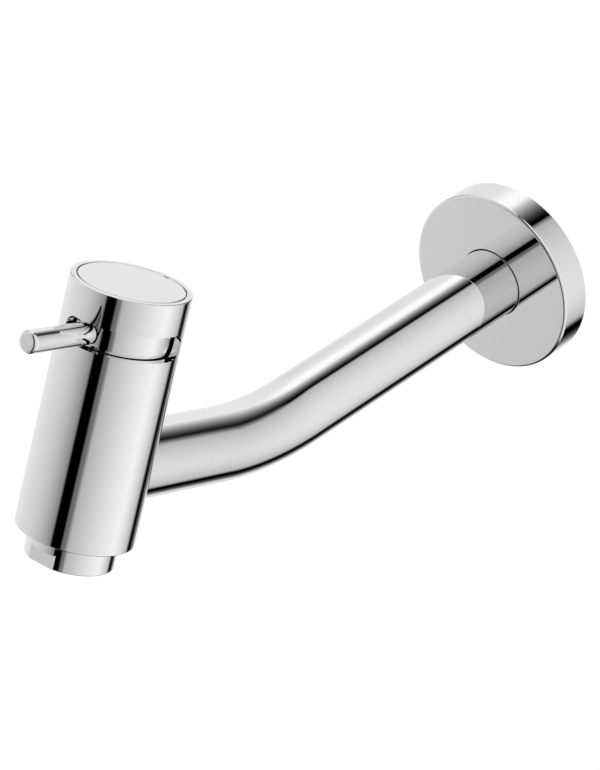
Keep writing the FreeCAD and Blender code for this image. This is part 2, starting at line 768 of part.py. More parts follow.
def cover_disc():
    """Disc let into the head's top, with a pry notch, and a ring-shaped spigot grooved for a rubber ring."""
    body = new_body("cover_disc", HEAD)
    turned(body, [
        ("0", "cover_step"),
        ("cover_spigot - cover_spigot_wall", "cover_step"),
        ("cover_spigot - cover_spigot_wall", "cover_foot"),
        ("cover_spigot", "cover_foot"),
        ("cover_spigot", "cover_step"),
        ("cover_radius", "cover_step"),
        ("cover_radius", "head_above_spout - cover_edge_chamfer"),
        ("cover_radius - cover_edge_chamfer", "head_above_spout"),
        ("0", "head_above_spout"),
    ])
    groove(body, "head_bore - cover_ring_section", "cover_spigot",
           "cover_ring_level - cover_groove_width / 2", "cover_ring_level + cover_groove_width / 2")
    flat_pocket(body, [rectangle("-pry_notch_width / 2", "pry_notch_width / 2",
                                 "cover_radius - pry_notch_depth", f"cover_radius + {OVERCUT}")],
                "head_above_spout - pry_notch_height", "head_above_spout")
    return body


def cover_o_ring():
    """Rubber ring that holds the cover disc in the shell."""
    return seal_ring("cover_o_ring", HEAD, "head_bore - cover_ring_section", "cover_ring_section",
                     "cover_ring_level")


# Cartridge: the part that stays


def cartridge_housing():
    """Headwork body: cage with windows round the discs, thread, collar, hexagon and neck."""
    body = new_body("cartridge_housing", HEAD)
    thread_foot = "body_top - cartridge_thread_length"
    turned(body, [
        ("cage_bore", "cage_foot"),
        ("cage_radius", "cage_foot"),
        ("cage_radius", thread_foot),
        ("cartridge_thread", thread_foot),
        ("cartridge_thread", "body_top"),
        ("cartridge_collar_diameter / 2", "body_top"),
        ("cartridge_collar_diameter / 2", "cartridge_hexagon_foot"),
        ("cartridge_neck_diameter / 2", "cartridge_hexagon_foot"),
        ("cartridge_neck_diameter / 2", "cartridge_top"),
        ("spindle_bore", "cartridge_top"),
        ("spindle_bore", "cage_roof"),
        ("cage_bore", "cage_roof"),
    ])
    flat_pad(body, hexagon("cartridge_hexagon"), "cartridge_hexagon_foot", "cartridge_hexagon_top",
             bore="spindle_bore")
    ear_half = "disc_ear_width / 2 + disc_ear_gap"
    flat_pocket(body, [rectangle(f"-cage_radius - {OVERCUT}", f"cage_radius + {OVERCUT}",
                                 f"-({ear_half})", ear_half)],
                "cage_foot", "fixed_disc_foot + disc_thickness + disc_ear_gap")
    window = groove(body, "cage_bore - disc_ear_gap", "cage_radius + disc_ear_gap",
                    "cage_window_foot", "cage_window_foot + cage_window_height", "cage_window_angle")
    repeat_round(body, window, "cage_windows")
    return body


def cartridge_seal_ring():
    """Rubber ring in the well under the headwork's collar."""
    return seal_ring("cartridge_seal_ring", HEAD, "cartridge_thread", "cartridge_seal_section",
                     "body_top - cartridge_seal_section / 2")


def cartridge_base_seal():
    """Rubber ring that the fixed disc presses on the seat."""
    return ring_part("cartridge_base_seal", HEAD, "cage_bore - base_seal_fit - base_seal_wall",
                     "cage_bore - base_seal_fit", "seat_level", "fixed_disc_foot")


def cut_disc_ports(body, foot, top, angle):
    """Cut the two opposite sector ports of a ceramic disc."""
    port = groove(body, "disc_port_inner / 2", "disc_port_outer / 2", foot, top, "disc_port_angle", angle)
    repeat_round(body, port, "2")


def fixed_ceramic_disc():
    """Ceramic disc keyed in the cage by two ears, its ports at the sides."""
    body = new_body("fixed_ceramic_disc", HEAD)
    top = "fixed_disc_foot + disc_thickness"
    turned(body, rectangle("0", "cage_bore - base_seal_fit", "fixed_disc_foot", top))
    flat_pad(body, rectangle("disc_ear_gap - cage_radius", "cage_radius - disc_ear_gap",
                             "-disc_ear_width / 2", "disc_ear_width / 2"), "fixed_disc_foot", top)
    cut_disc_ports(body, "fixed_disc_foot", top, SIDE)
    return body


# Cartridge: the part that turns


def moving_ceramic_disc():
    """Ceramic disc driven by the spindle, its ports a quarter turn away while the tap is shut."""
    body = new_body("moving_ceramic_disc", HEAD)
    turned(body, rectangle("0", "moving_disc_radius", "moving_disc_foot", "moving_disc_top"))
    cut_disc_ports(body, "moving_disc_foot", "moving_disc_top", FRONT)
    bar_half = "drive_bar_width / 2 + disc_gap"
    flat_pocket(body, [rectangle(f"-moving_disc_radius - {OVERCUT}", f"moving_disc_radius + {OVERCUT}",
                                 f"-({bar_half})", bar_half)],
                "moving_disc_top - drive_slot_depth", "moving_disc_top")
    return body


def spindle():
    """Splined spindle with a drive bar, shoulder, ring grooves, clip groove and tapped end."""
    body = new_body("spindle", HEAD)
    turned(body, [
        ("0", "shoulder_foot"),
        ("shoulder_radius", "shoulder_foot"),
        ("shoulder_radius", "shoulder_top"),
        ("spindle_radius", "shoulder_top"),
        ("spindle_radius", "spline_foot"),
        ("spline_radius", "spline_foot"),
        ("spline_radius", "spindle_top"),
        ("0", "spindle_top"),
    ])
    flat_pad(body, rectangle("-drive_bar_length / 2", "drive_bar_length / 2",
                             "-drive_bar_width / 2", "drive_bar_width / 2"),
             "moving_disc_top - drive_slot_depth + disc_gap", "shoulder_foot")
    for step in range(2):
        level = f"spindle_ring_first + {step} * spindle_ring_spacing"
        groove(body, "spindle_groove_floor", "spindle_radius",
               f"{level} - spindle_groove_width / 2", f"{level} + spindle_groove_width / 2")
    groove(body, "clip_groove_radius", "spindle_radius", "clip_foot - clip_play", "clip_top + clip_play")
    axial_hole(body, "hub_screw_radius + screw_fit", "0", f"hub_screw_tip - {OVERCUT}", "spindle_top")
    tooth_half = "pi * spline_diameter / spline_teeth / 4"
    valley = flat_pocket(body, [rectangle("spline_radius - spline_depth", "spline_radius + spline_depth",
                                          f"-({tooth_half})", tooth_half)], "spline_foot", "spindle_top")
    repeat_round(body, valley, "spline_teeth")
    return body


def spindle_o_rings():
    """Two rubber rings between the spindle and the housing."""
    return seal_ring_pair("spindle_o_rings", HEAD, "spindle_groove_floor", "spindle_ring_section",
                          "spindle_ring_first", "spindle_ring_spacing")


def thrust_washer():
    """Slip washer between the spindle's shoulder and the cage's roof."""
    return ring_part("thrust_washer", HEAD, "spindle_radius + spindle_clearance", "shoulder_radius",
                     "shoulder_top", "washer_top")


def spindle_clip():
    """Open ring in the spindle's groove, above the neck."""
    body = ring_part("spindle_clip", HEAD, "clip_groove_radius + screw_fit", "clip_outer_diameter / 2",
                     "clip_foot", "clip_top")
    groove(body, "0", f"clip_outer_diameter / 2 + {OVERCUT}", "clip_foot", "clip_top",
           "clip_opening", BACK)
    return body


# Lever


def lever_hub():
    """Drum on the splines: bore for the insert, well for the screw, neck for the slide ring, pin seat."""
    body = new_body("lever_hub", HEAD)
    well = "hub_screw_well_diameter / 2"
    screw_hole = "hub_screw_radius + screw_hole_clearance"
    turned(body, [
        ("insert_radius + pin_fit", "hub_foot"),
        ("slide_ring_inner - pin_fit", "hub_foot"),
        ("slide_ring_inner - pin_fit", "hub_shoulder"),
        ("hub_radius", "hub_shoulder"),
        ("hub_radius", "hub_top - hub_edge_chamfer"),
        ("hub_radius - hub_edge_chamfer", "hub_top"),
        (well, "hub_top"),
        (well, "hub_web_ceiling"),
        (screw_hole, "hub_web_ceiling"),
        (screw_hole, "hub_web_floor"),
        ("insert_radius + pin_fit", "hub_web_floor"),
    ])
    outside = f"hub_radius + {OVERCUT}"
    radial_hole(body, "pin_radius + pin_fit", "pin_level", "pin_seat", outside)
    radial_hole(body, "pin_radius + pin_ring_gap", "pin_level", "pin_seat + pin_seat_grip", outside)
    radial_hole(body, "pin_stud_diameter / 2 + pin_fit", "pin_level", "pin_stud_tip - screw_hole_clearance",
                "pin_seat")
    return body


def lever_pin():
    """Round pin with a turned stud that screws into the drum."""
    body = new_body("lever_pin", PIN)
    turned(body, [
        ("0", "pin_stud_tip"),
        ("pin_stud_diameter / 2", "pin_stud_tip"),
        ("pin_stud_diameter / 2", "pin_seat"),
        ("pin_radius", "pin_seat"),
        *rounding("pin_radius", "pin_reach", "pin_tip_round"),
        ("0", "pin_reach"),
    ])
    return body


def hub_slide_ring():
    """Plastic guide ring round the drum's neck, clear of the shell's bore."""
    return ring_part("hub_slide_ring", HEAD, "slide_ring_inner", "slide_ring_outer",
                     "hub_foot", "hub_shoulder")


def spline_insert():
    """Plastic bush between the splines and the drum."""
    return ring_part("spline_insert", HEAD, "spline_radius + spline_fit", "insert_radius",
                     "insert_foot", "hub_web_floor")


def hub_screw():
    """Socket-head screw through the drum's web into the spindle."""
    body = new_body("hub_screw", HEAD)
    head_top = "hub_web_ceiling + hub_screw_head_height"
    turned(body, [
        ("0", "hub_screw_tip"),
        ("hub_screw_radius", "hub_screw_tip"),
        ("hub_screw_radius", "hub_web_ceiling"),
        ("hub_screw_head_diameter / 2", "hub_web_ceiling"),
        ("hub_screw_head_diameter / 2", head_top),
        ("0", head_top),
    ])
    flat_pocket(body, [hexagon("hub_screw_key_flats")], f"{head_top} - hub_screw_key_depth", head_top)
    return body


# Outlet


def aerator_housing():
    """Outlet collar: threaded top, round skirt with two spanner flats, and a lip inside."""
    body = new_body("aerator_housing", HEAD)
    turned(body, [
        ("collar_lip", "collar_foot"),
        ("collar_radius - collar_foot_chamfer", "collar_foot"),
        ("collar_radius", "collar_foot + collar_foot_chamfer"),
        ("collar_radius", "body_foot"),
        ("collar_thread", "body_foot"),
        ("collar_thread", "collar_top"),
        ("collar_bore", "collar_top"),
        ("collar_bore", "collar_ledge"),
        ("collar_lip", "collar_ledge"),
    ])
    reach = f"collar_radius + {OVERCUT}"
    flats = [
        rectangle(f"-({reach})", reach, "collar_flats / 2", reach),
        rectangle(f"-({reach})", reach, f"-({reach})", "-collar_flats / 2"),
    ]
    flat_pocket(body, flats, "collar_foot", "head_foot - collar_flats_start")
    return body


def aerator_gasket():
    """Rubber ring between the collar's top and the outlet seat."""
    return ring_part("aerator_gasket", HEAD, "aerator_gasket_bore / 2", "collar_thread - aerator_fit",
                     "collar_top", "outlet_seat")


def aerator_insert():
    """Plastic cup of the aerator with a drilled diffuser plate and a lip for the outlet grid."""
    body = new_body("aerator_insert", HEAD)
    retainer = "aerator_bore - grid_retainer_width"
    turned(body, [
        (retainer, "collar_ledge"),
        ("aerator_radius", "collar_ledge"),
        ("aerator_radius", "collar_top"),
        ("aerator_bore", "collar_top"),
        ("aerator_bore", "regulator_level"),
        ("0", "regulator_level"),
        ("0", "diffuser_level"),
        ("aerator_bore", "diffuser_level"),
        ("aerator_bore", "grid_level"),
        (retainer, "grid_level"),
    ])
    hole = axial_hole(body, "diffuser_hole / 2", "diffuser_ring / 2", "diffuser_level", "regulator_level")
    repeat_round(body, hole, "diffuser_holes")
    return body


def aerator_outlet_grid():
    """Plastic grid that the water leaves through."""
    body = new_body("aerator_outlet_grid", HEAD)
    top = "grid_level + grid_thickness"
    turned(body, rectangle("0", "aerator_filling", "grid_level", top))
    hole_field(body, "grid_hole / 2", "grid_pitch", HOLE_RINGS, "grid_level", top)
    return body


def aerator_strainer():
    """Perforated inlet strainer over the flow regulator."""
    body = new_body("aerator_strainer", HEAD)
    top = "strainer_level + strainer_thickness"
    turned(body, rectangle("0", "aerator_filling", "strainer_level", top))
    hole_field(body, "strainer_hole / 2", "strainer_pitch", HOLE_RINGS, "strainer_level", top)
    return body


def flow_regulator():
    """Regulator disc with a ring-shaped channel and drilled outlets."""
    body = new_body("flow_regulator", HEAD)
    channel_floor = "strainer_level - regulator_groove_depth"
    turned(body, rectangle("0", "aerator_filling", "regulator_level", "strainer_level"))
    groove(body, "regulator_groove_inner / 2", "regulator_groove_outer / 2", channel_floor,
           "strainer_level")
    hole = axial_hole(body, "regulator_hole / 2", "(regulator_groove_inner + regulator_groove_outer) / 4",
                      "regulator_level", channel_floor)
    repeat_round(body, hole, "regulator_holes")
    return body


def regulator_ring():
    """Elastic ring in the regulator's channel."""
    middle = "(regulator_groove_inner + regulator_groove_outer) / 4"
    level = "strainer_level - regulator_groove_depth + regulator_ring_section / 2"
    return seal_ring("regulator_ring", HEAD, f"{middle} - regulator_ring_section / 2",
                     "regulator_ring_section", level)


SUB_PARTS = (
    wall_flange, flange_wall_gasket, flange_grip_ring, inlet_nipple, inlet_o_rings, tube_end_sleeve,
    spout_set_screw, spout_tube, head_shell, valve_body, cover_disc, cover_o_ring, cartridge_housing,
    cartridge_seal_ring, cartridge_base_seal, fixed_ceramic_disc, moving_ceramic_disc, spindle,
    spindle_o_rings, thrust_washer, spindle_clip, lever_hub, lever_pin, hub_slide_ring, spline_insert,
    hub_screw, aerator_housing, aerator_gasket, aerator_insert, aerator_outlet_grid, aerator_strainer,
    flow_regulator, regulator_ring,
)


def check_document():
    """Stop if any object of the document failed to build."""
    for item in doc.Objects:
        faults = {"Invalid", "Error"} & set(item.State)
        if faults:
            raise RuntimeError(f"{item.Label} is {', '.join(sorted(faults))}")


def write_part(item):
    """Write a sub-part's solid after testing it."""
    shape = item.Shape
    if shape.isNull() or not shape.isValid():
        raise RuntimeError(f"{item.Label} has no valid shape")
    shape.exportStep(f"parts/{item.Label}.step")
    print(f"{item.Label}: {len(shape.Solids)} solid(s), {shape.Volume:.1f} mm3")


def main():
    """Build the sub-parts, test them and write their files."""
    fill_sheet()
    items = [make() for make in SUB_PARTS]
    doc.recompute()
    check_document()
    os.makedirs("parts", exist_ok=True)
    for item in items:
        write_part(item)


main()
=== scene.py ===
"""Wall-mounted basin tap: studio, finishes and the pieces with finer shapes than the frame's."""
import logging
import math
from collections.abc import Callable, Iterator
from contextlib import contextmanager
from dataclasses import dataclass
from enum import Enum

import bpy
from mathutils import Matrix, Vector


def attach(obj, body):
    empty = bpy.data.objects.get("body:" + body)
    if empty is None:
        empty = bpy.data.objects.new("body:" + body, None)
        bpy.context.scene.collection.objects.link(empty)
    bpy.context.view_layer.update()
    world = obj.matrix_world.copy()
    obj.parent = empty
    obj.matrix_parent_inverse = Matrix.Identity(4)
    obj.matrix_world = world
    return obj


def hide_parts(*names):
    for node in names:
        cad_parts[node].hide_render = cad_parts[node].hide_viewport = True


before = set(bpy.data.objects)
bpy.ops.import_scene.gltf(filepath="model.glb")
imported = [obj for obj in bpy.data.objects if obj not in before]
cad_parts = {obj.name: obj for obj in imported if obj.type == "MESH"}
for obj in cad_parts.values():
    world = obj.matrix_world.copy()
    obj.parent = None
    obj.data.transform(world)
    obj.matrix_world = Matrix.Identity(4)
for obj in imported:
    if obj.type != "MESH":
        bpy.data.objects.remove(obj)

log = logging.getLogger("basin_tap")
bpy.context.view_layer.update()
MM = 0.001
FULL_TURN = 360.0
DEGREES = 180.0 / math.pi
HEAD_CENTRE = (0.0, -0.228875, 0.0302005)
HEAD_LEAN = -20.0

Part = bpy.types.Object
Node = bpy.types.Node
Socket = bpy.types.NodeSocket
Span = tuple[float, float]
Triple = tuple[float, float, float]


# Shader maths


class Board:
    """A node tree that is wired in Python."""

    def __init__(self, tree: bpy.types.NodeTree) -> None:
        """Take over the node tree of a material or of the world and clear it."""
        self.tree = tree
        self.tree.nodes.clear()

    def add(self, kind: str, settings: dict | None = None, inputs: dict | None = None) -> Node:
        """Add a node.

        Args:
            kind: The node's type.
            settings: The node's own properties.
            inputs: Numbers, colours, signals or sockets for its inputs, by name or place.

        Returns:
            The new node.
        """
        node = self.tree.nodes.new(kind)
        for key, value in (settings or {}).items():
            setattr(node, key, value)
        for key, value in (inputs or {}).items():
            self.feed(node.inputs[key], value)
        return node

    def feed(self, socket: Socket, value: object) -> None:
        """Set an input to a constant, or wire it to a signal or socket.

        Args:
            socket: The input.
            value: What it gets.
        """
        if isinstance(value, Signal):
            self.tree.links.new(value.socket, socket)
        elif isinstance(value, Socket):
            self.tree.links.new(value, socket)
        else:
            socket.default_value = value

    def signal(self, node: Node, output: str | int = 0) -> "Signal":
        """Give a node's output as a signal."""
        return Signal(self, node.outputs[output])

    def blend(self, amount: object, low: object, high: object) -> Socket:
        """Mix two colours.

        Args:
            amount: Share of the second colour, 0 to 1.
            low: First colour.
            high: Second colour.

        Returns:
            The mixed colour's socket.
        """
        node = self.add("ShaderNodeMix", {"data_type": "RGBA", "clamp_factor": True})
        for place, value in ((0, amount), (6, low), (7, high)):
            self.feed(node.inputs[place], value)
        return node.outputs[2]

    def noise(self, place: Socket, scale: float, detail: float = 2.0,
              rough: float = 0.5) -> "Signal":
        """Give fractal noise between 0 and 1.

        Args:
            place: Vector socket of the point to read.
            scale: Repeats per metre.
            detail: Octaves.
            rough: Share that each finer octave keeps.

        Returns:
            The noise.
        """
        node = self.add("ShaderNodeTexNoise", {"noise_dimensions": "3D"},
                        {"Vector": place, "Scale": scale, "Detail": detail, "Roughness": rough})
        return self.signal(node, "Fac")


class Signal:
    """A number that flows through a node tree, with ordinary arithmetic."""

    def __init__(self, board: Board, socket: Socket) -> None:
        """Wrap an output socket of a board."""
        self.board = board
        self.socket = socket

    def math(self, operation: str, *others: object) -> "Signal":
        """Apply a Math node to this signal and any further inputs."""
        return calculate(self.board, operation, self, *others)

    def __add__(self, other: object) -> "Signal":
        """Add."""
        return self.math("ADD", other)

    def __radd__(self, other: float) -> "Signal":
        """Add to a number."""
        return calculate(self.board, "ADD", other, self)

    def __sub__(self, other: object) -> "Signal":
        """Subtract."""
        return self.math("SUBTRACT", other)

    def __rsub__(self, other: float) -> "Signal":
        """Subtract from a number."""
        return calculate(self.board, "SUBTRACT", other, self)

    def __mul__(self, other: object) -> "Signal":
        """Multiply."""
        return self.math("MULTIPLY", other)

    def __rmul__(self, other: float) -> "Signal":
        """Multiply a number."""
        return calculate(self.board, "MULTIPLY", other, self)

    def __truediv__(self, other: object) -> "Signal":
        """Divide."""
        return self.math("DIVIDE", other)

    def __rtruediv__(self, other: float) -> "Signal":
        """Divide a number."""
        return calculate(self.board, "DIVIDE", other, self)

    def __pow__(self, other: object) -> "Signal":
        """Raise to a power."""
        return self.math("POWER", other)

    def __rpow__(self, other: float) -> "Signal":
        """Raise a number to this power."""
        return calculate(self.board, "POWER", other, self)

    def __neg__(self) -> "Signal":
        """Change the sign."""
        return self.math("MULTIPLY", -1.0)

    def clamped(self) -> "Signal":
        """Keep between 0 and 1."""
        return self.math("MAXIMUM", 0.0).math("MINIMUM", 1.0)

    def ramp(self, low: float, high: float) -> "Signal":
        """Rise from 0 at one value to 1 at another, in a straight line."""
        return ((self - low) / (high - low)).clamped()

    def smooth_ramp(self, low: float, high: float) -> "Signal":
        """Rise from 0 at one value to 1 at another, with soft ends."""
        share = self.ramp(low, high)
        return share * share * (3.0 - 2.0 * share)


def calculate(board: Board, operation: str, *values: object) -> Signal:
    """Add a Math node.

    Args:
        board: The node tree.
        operation: The node's operation.
        values: Numbers or signals.

    Returns:
        The result.
    """
    node = board.add("ShaderNodeMath", {"operation": operation})
    for place, value in enumerate(values):
        board.feed(node.inputs[place], value)
    return board.signal(node)


# Studio


class Turn(Enum):
    """Which way a light wall's angles are counted from the front of the tap, seen from above."""

    RIGHT = 1.0
    LEFT = -1.0


@dataclass(frozen=True)
class LightWall:
    """A soft white wall of the studio tent, which runs round one side from a near to a far edge.

    Angles are in degrees from the front. Its level rises from the near edge to its brightest angle
    and falls again to the far edge. Low down the far edge draws back and the wall grows dimmer, and
    low down and high up that edge is sharper. The ranges are in degrees below or above the horizon.
    """

    turn: Turn
    near: float
    brightest: float
    far: float
    near_level: float
    peak_level: float
    far_level: float
    near_softness: float
    far_softness: float
    rise: float
    fall: float
    far_fade: float
    recess: float = 0.0
    sharpening: float = 0.0
    low_sharpening: float = 0.0
    low_loss: float = 0.0
    lean: float = 0.0
    recess_range: Span = (26.0, 46.5)
    sharp_range: Span = (35.0, 40.0)
    low_sharp_range: Span = (36.0, 44.0)
    loss_range: Span = (22.0, 46.0)
    lean_range: Span = (-15.4, 25.3)
    sharp_fade: float = 2.2
    past_front: float = 10.0

    def light(self, board: Board, azimuth: Signal, elevation: Signal) -> Signal:
        """Give the wall's level for a direction.

        Args:
            board: The world's node tree; not used.
            azimuth: Degrees from the front, positive to the right.
            elevation: Degrees above the horizon.

        Returns:
            The level, 0 off the wall.
        """
        angle = azimuth * self.turn.value + (FULL_TURN + self.past_front)
        angle = angle.math("MODULO", FULL_TURN) - self.past_front
        below = -elevation
        far = self.far - self.recess * below.smooth_ramp(*self.recess_range)
        sharper = (self.sharpening * elevation.ramp(*self.sharp_range)
                   + self.low_sharpening * below.ramp(*self.low_sharp_range))
        softness = self.far_softness * (1.0 - sharper)
        climb = 1.0 - (1.0 - angle.ramp(self.near, self.brightest)) ** self.rise
        drop = ((angle - self.brightest) / (far - self.brightest)).clamped() ** self.fall
        level = self.near_level + climb * (self.peak_level - self.near_level)
        level = level - drop * (self.peak_level - self.far_level)
        lowest, highest = self.lean_range
        height = elevation.math("MAXIMUM", lowest).math("MINIMUM", highest)
        level = level * (1.0 - self.lean * height)
        start = angle.smooth_ramp(self.near - self.near_softness, self.near)
        fade = self.far_fade - self.sharp_fade * sharper
        end = (1.0 - ((angle - far) / softness).clamped()) ** fade
        return level * start * end * (1.0 - self.low_loss * below.ramp(*self.loss_range))


@dataclass(frozen=True)
class SoftLamp:
    """A round soft lamp behind the tent's wall, which brightens it, or a fold that shades it."""

    azimuth: float
    elevation: float
    radius: float
    level: float

    def light(self, azimuth: Signal, elevation: Signal) -> Signal:
        """Give the lamp's level for a direction.

        Args:
            azimuth: Degrees from the front, positive to the right.
            elevation: Degrees above the horizon.

        Returns:
            The level, which fades out towards the lamp's edge.
        """
        across = (azimuth - self.azimuth) * math.cos(math.radians(self.elevation))
        up = elevation - self.elevation
        distance = (across * across + up * up).math("SQRT")
        return self.level * (1.0 - distance.smooth_ramp(0.0, self.radius))


@dataclass(frozen=True)
class Studio:
    """White tent with two light walls and a faint strip in the dark gap between them.

    The polished metal mirrors it. The camera sees plain white, and matte pieces get even light.
    """

    walls: tuple[LightWall, ...] = (
        LightWall(Turn.RIGHT, near=30.2, brightest=114.7, far=160.2, near_level=0.52,
                  peak_level=1.01, far_level=0.54, near_softness=6.8, far_softness=12.5, rise=1.24,
                  fall=1.13, far_fade=2.0, recess=7.8, sharpening=0.5, low_sharpening=0.28,
                  low_loss=0.04, lean=0.0018),
        LightWall(Turn.LEFT, near=4.5, brightest=129.4, far=157.0, near_level=0.288,
                  peak_level=0.826, far_level=0.92, near_softness=5.2, far_softness=35.0, rise=3.58,
                  fall=0.516, far_fade=2.1, low_loss=0.15),
        LightWall(Turn.RIGHT, near=20.0, brightest=22.0, far=25.0, near_level=0.165,
                  peak_level=0.165, far_level=0.165, near_softness=4.2, far_softness=3.0, rise=1.0,
                  fall=1.0, far_fade=1.0),
    )
    lamps: tuple[SoftLamp, ...] = (
        SoftLamp(-141.8, 40.7, 18.3, 0.196),
        SoftLamp(-154.0, 37.0, 17.0, 0.1),
        SoftLamp(-108.5, -36.6, 39.2, 0.085),
        SoftLamp(-43.0, -32.0, 10.0, 0.12),
        SoftLamp(-110.4, 9.7, 24.3, -0.57),
    )
    floor_fade: Span = (53.6, 68.8)
    tent_level: float = 0.95
    floor_level: float = -1.2
    floor_size: float = 24.0
    floor_colour: tuple[float, float, float, float] = (0.86, 0.86, 0.86, 1.0)
    floor_glow: float = 0.24

    def light_world(self) -> None:
        """Give the world the tent's light."""
        world = bpy.data.worlds.new("studio_tent")
        world.use_nodes = True
        bpy.context.scene.world = world
        board = Board(world.node_tree)
        heading = board.add("ShaderNodeTexCoord").outputs["Generated"]
        parts = board.add("ShaderNodeSeparateXYZ", None, {0: heading})
        side, depth, height = (board.signal(parts, axis) for axis in ("X", "Y", "Z"))
        azimuth = calculate(board, "ARCTAN2", side, -depth) * DEGREES
        elevation = height.math("ARCSINE") * DEGREES
        level = sum((wall.light(board, azimuth, elevation) for wall in self.walls), start=0.0)
        level = level + sum((lamp.light(azimuth, elevation) for lamp in self.lamps), start=0.0)
        level = level * (1.0 - (-elevation).smooth_ramp(*self.floor_fade))
        path = board.add("ShaderNodeLightPath")
        spread, clear, seen = (board.signal(path, f"Is {kind} Ray")
                               for kind in ("Diffuse", "Transmission", "Camera"))
        level = level + spread * (self.tent_level - level)
        seen = seen.math("MAXIMUM", clear)
        level = level + seen * (1.0 - level)
        sky = board.add("ShaderNodeBackground", None,
                        {"Color": (1.0, 1.0, 1.0, 1.0), "Strength": level})
        board.add("ShaderNodeOutputWorld", None, {"Surface": sky.outputs[0]})

    def lay_floor(self) -> None:
        """Lay the pale floor far below the tap."""
        bpy.ops.object.select_all(action="DESELECT")
        bpy.ops.mesh.primitive_circle_add(vertices=96, radius=self.floor_size,
                                          fill_type="NGON", location=(0.0, 0.0, self.floor_level))
        floor = bpy.context.object
        floor.name = "studio_floor"
        floor.visible_glossy = False
        finish = bpy.data.materials.new("floor_paint")
        finish.use_nodes = True
        board = Board(finish.node_tree)
        paint = board.add("ShaderNodeBsdfDiffuse", None, {"Color": self.floor_colour})
        seen = board.signal(board.add("ShaderNodeLightPath"), "Is Camera Ray")
        glow = board.add("ShaderNodeEmission", None, {"Strength": seen * self.floor_glow})
        both = board.add("ShaderNodeAddShader", None, {0: paint.outputs[0], 1: glow.outputs[0]})
        board.add("ShaderNodeOutputMaterial", None, {"Surface": both.outputs[0]})
        floor.data.materials.append(finish)


@dataclass(frozen=True)
class Viewpoint:
    """The camera that took the photograph. Lengths are in millimetres, angles in degrees."""

    azimuth: float = 40.533
    elevation: float = 34.102
    roll: float = 0.345
    distance: float = 1301.14
    target: Triple = (9.46, -132.44, 19.204)
    lens: float = 174.64

    def set_up(self) -> None:
        """Create the camera and make it the scene's."""
        turn, lift, tilt = map(math.radians, (self.azimuth, self.elevation, self.roll))
        away = Vector((math.sin(turn) * math.cos(lift), -math.cos(turn) * math.cos(lift),
                       math.sin(lift)))
        right = Vector((math.cos(turn), math.sin(turn), 0.0))
        up = away.cross(right)
        level_right = right * math.cos(tilt) + up * math.sin(tilt)
        level_up = away.cross(level_right)
        shot = Matrix((level_right, level_up, away)).transposed().to_4x4()
        shot.translation = (Vector(self.target) + away * self.distance) * MM
        data = bpy.data.cameras.new("photo_camera")
        data.lens = self.lens
        data.sensor_width = 36.0
        data.sensor_fit = "AUTO"
        data.clip_end = 100.0
        camera = bpy.data.objects.new("photo_camera", data)
        camera.matrix_world = shot
        bpy.context.scene.collection.objects.link(camera)
        bpy.context.scene.camera = camera


# Finishes


@dataclass(frozen=True)
class Lathe:
    """The axis that a piece is turned on: a point on it in metres, and its lean in degrees."""

    centre: Triple
    lean: float

    def place(self, board: Board) -> Socket:
        """Give the surface point in the lathe's own frame, with Z along its axis.

        Args:
            board: The material's node tree.

        Returns:
            The point's socket.
        """
        point = board.add("ShaderNodeTexCoord").outputs["Object"]
        turn = (math.radians(self.lean), 0.0, 0.0)
        node = board.add("ShaderNodeMapping", {"vector_type": "TEXTURE"},
                         {"Vector": point, "Location": self.centre, "Rotation": turn})
        return node.outputs[0]

    def spread(self, board: Board, point: Socket) -> tuple[Signal, Signal]:
        """Give a point's radius about the axis and its level along it.

        Args:
            board: The material's node tree.
            point: The point in the lathe's own frame.

        Returns:
            The radius and the level.
        """
        parts = board.add("ShaderNodeSeparateXYZ", None, {0: point})
        across, along, level = (board.signal(parts, axis) for axis in ("X", "Y", "Z"))
        return (across * across + along * along).math("SQRT"), level


WALL_AXIS = Lathe((0.0, 0.0, 0.0), 90.0)
HEAD_AXIS = Lathe(HEAD_CENTRE, HEAD_LEAN)


@dataclass(frozen=True)
class Finish:
    """What every finish has: a name, and a surface whose detail is drawn on the piece itself."""

    name: str

    def surface(self, board: Board) -> Node:
        """Wire the finish's shader."""
        raise NotImplementedError

    def material(self) -> bpy.types.Material:
        """Make the finish's material once and give it again after that.

        Returns:
            The material.
        """
        made = bpy.data.materials.get(self.name)
        if made is not None:
            return made
        made = bpy.data.materials.new(self.name)
        made.use_nodes = True
        board = Board(made.node_tree)
        shader = self.surface(board)
        board.add("ShaderNodeOutputMaterial", None, {"Surface": shader.outputs[0]})
        return made

    def dress(self, piece: Part) -> None:
        """Put the finish in all of a piece's slots.

        Args:
            piece: The piece.
        """
        if not piece.data.materials:
            piece.data.materials.append(None)
        for place in range(len(piece.material_slots)):
            piece.material_slots[place].material = self.material()


def bumped(board: Board, height: Signal, depth: float) -> Socket:
    """Turn a height pattern from 0 to 1 into a shading normal. Its depth is in metres."""
    node = board.add("ShaderNodeBump", None, {"Height": height, "Distance": depth, "Strength": 1.0})
    return node.outputs[0]


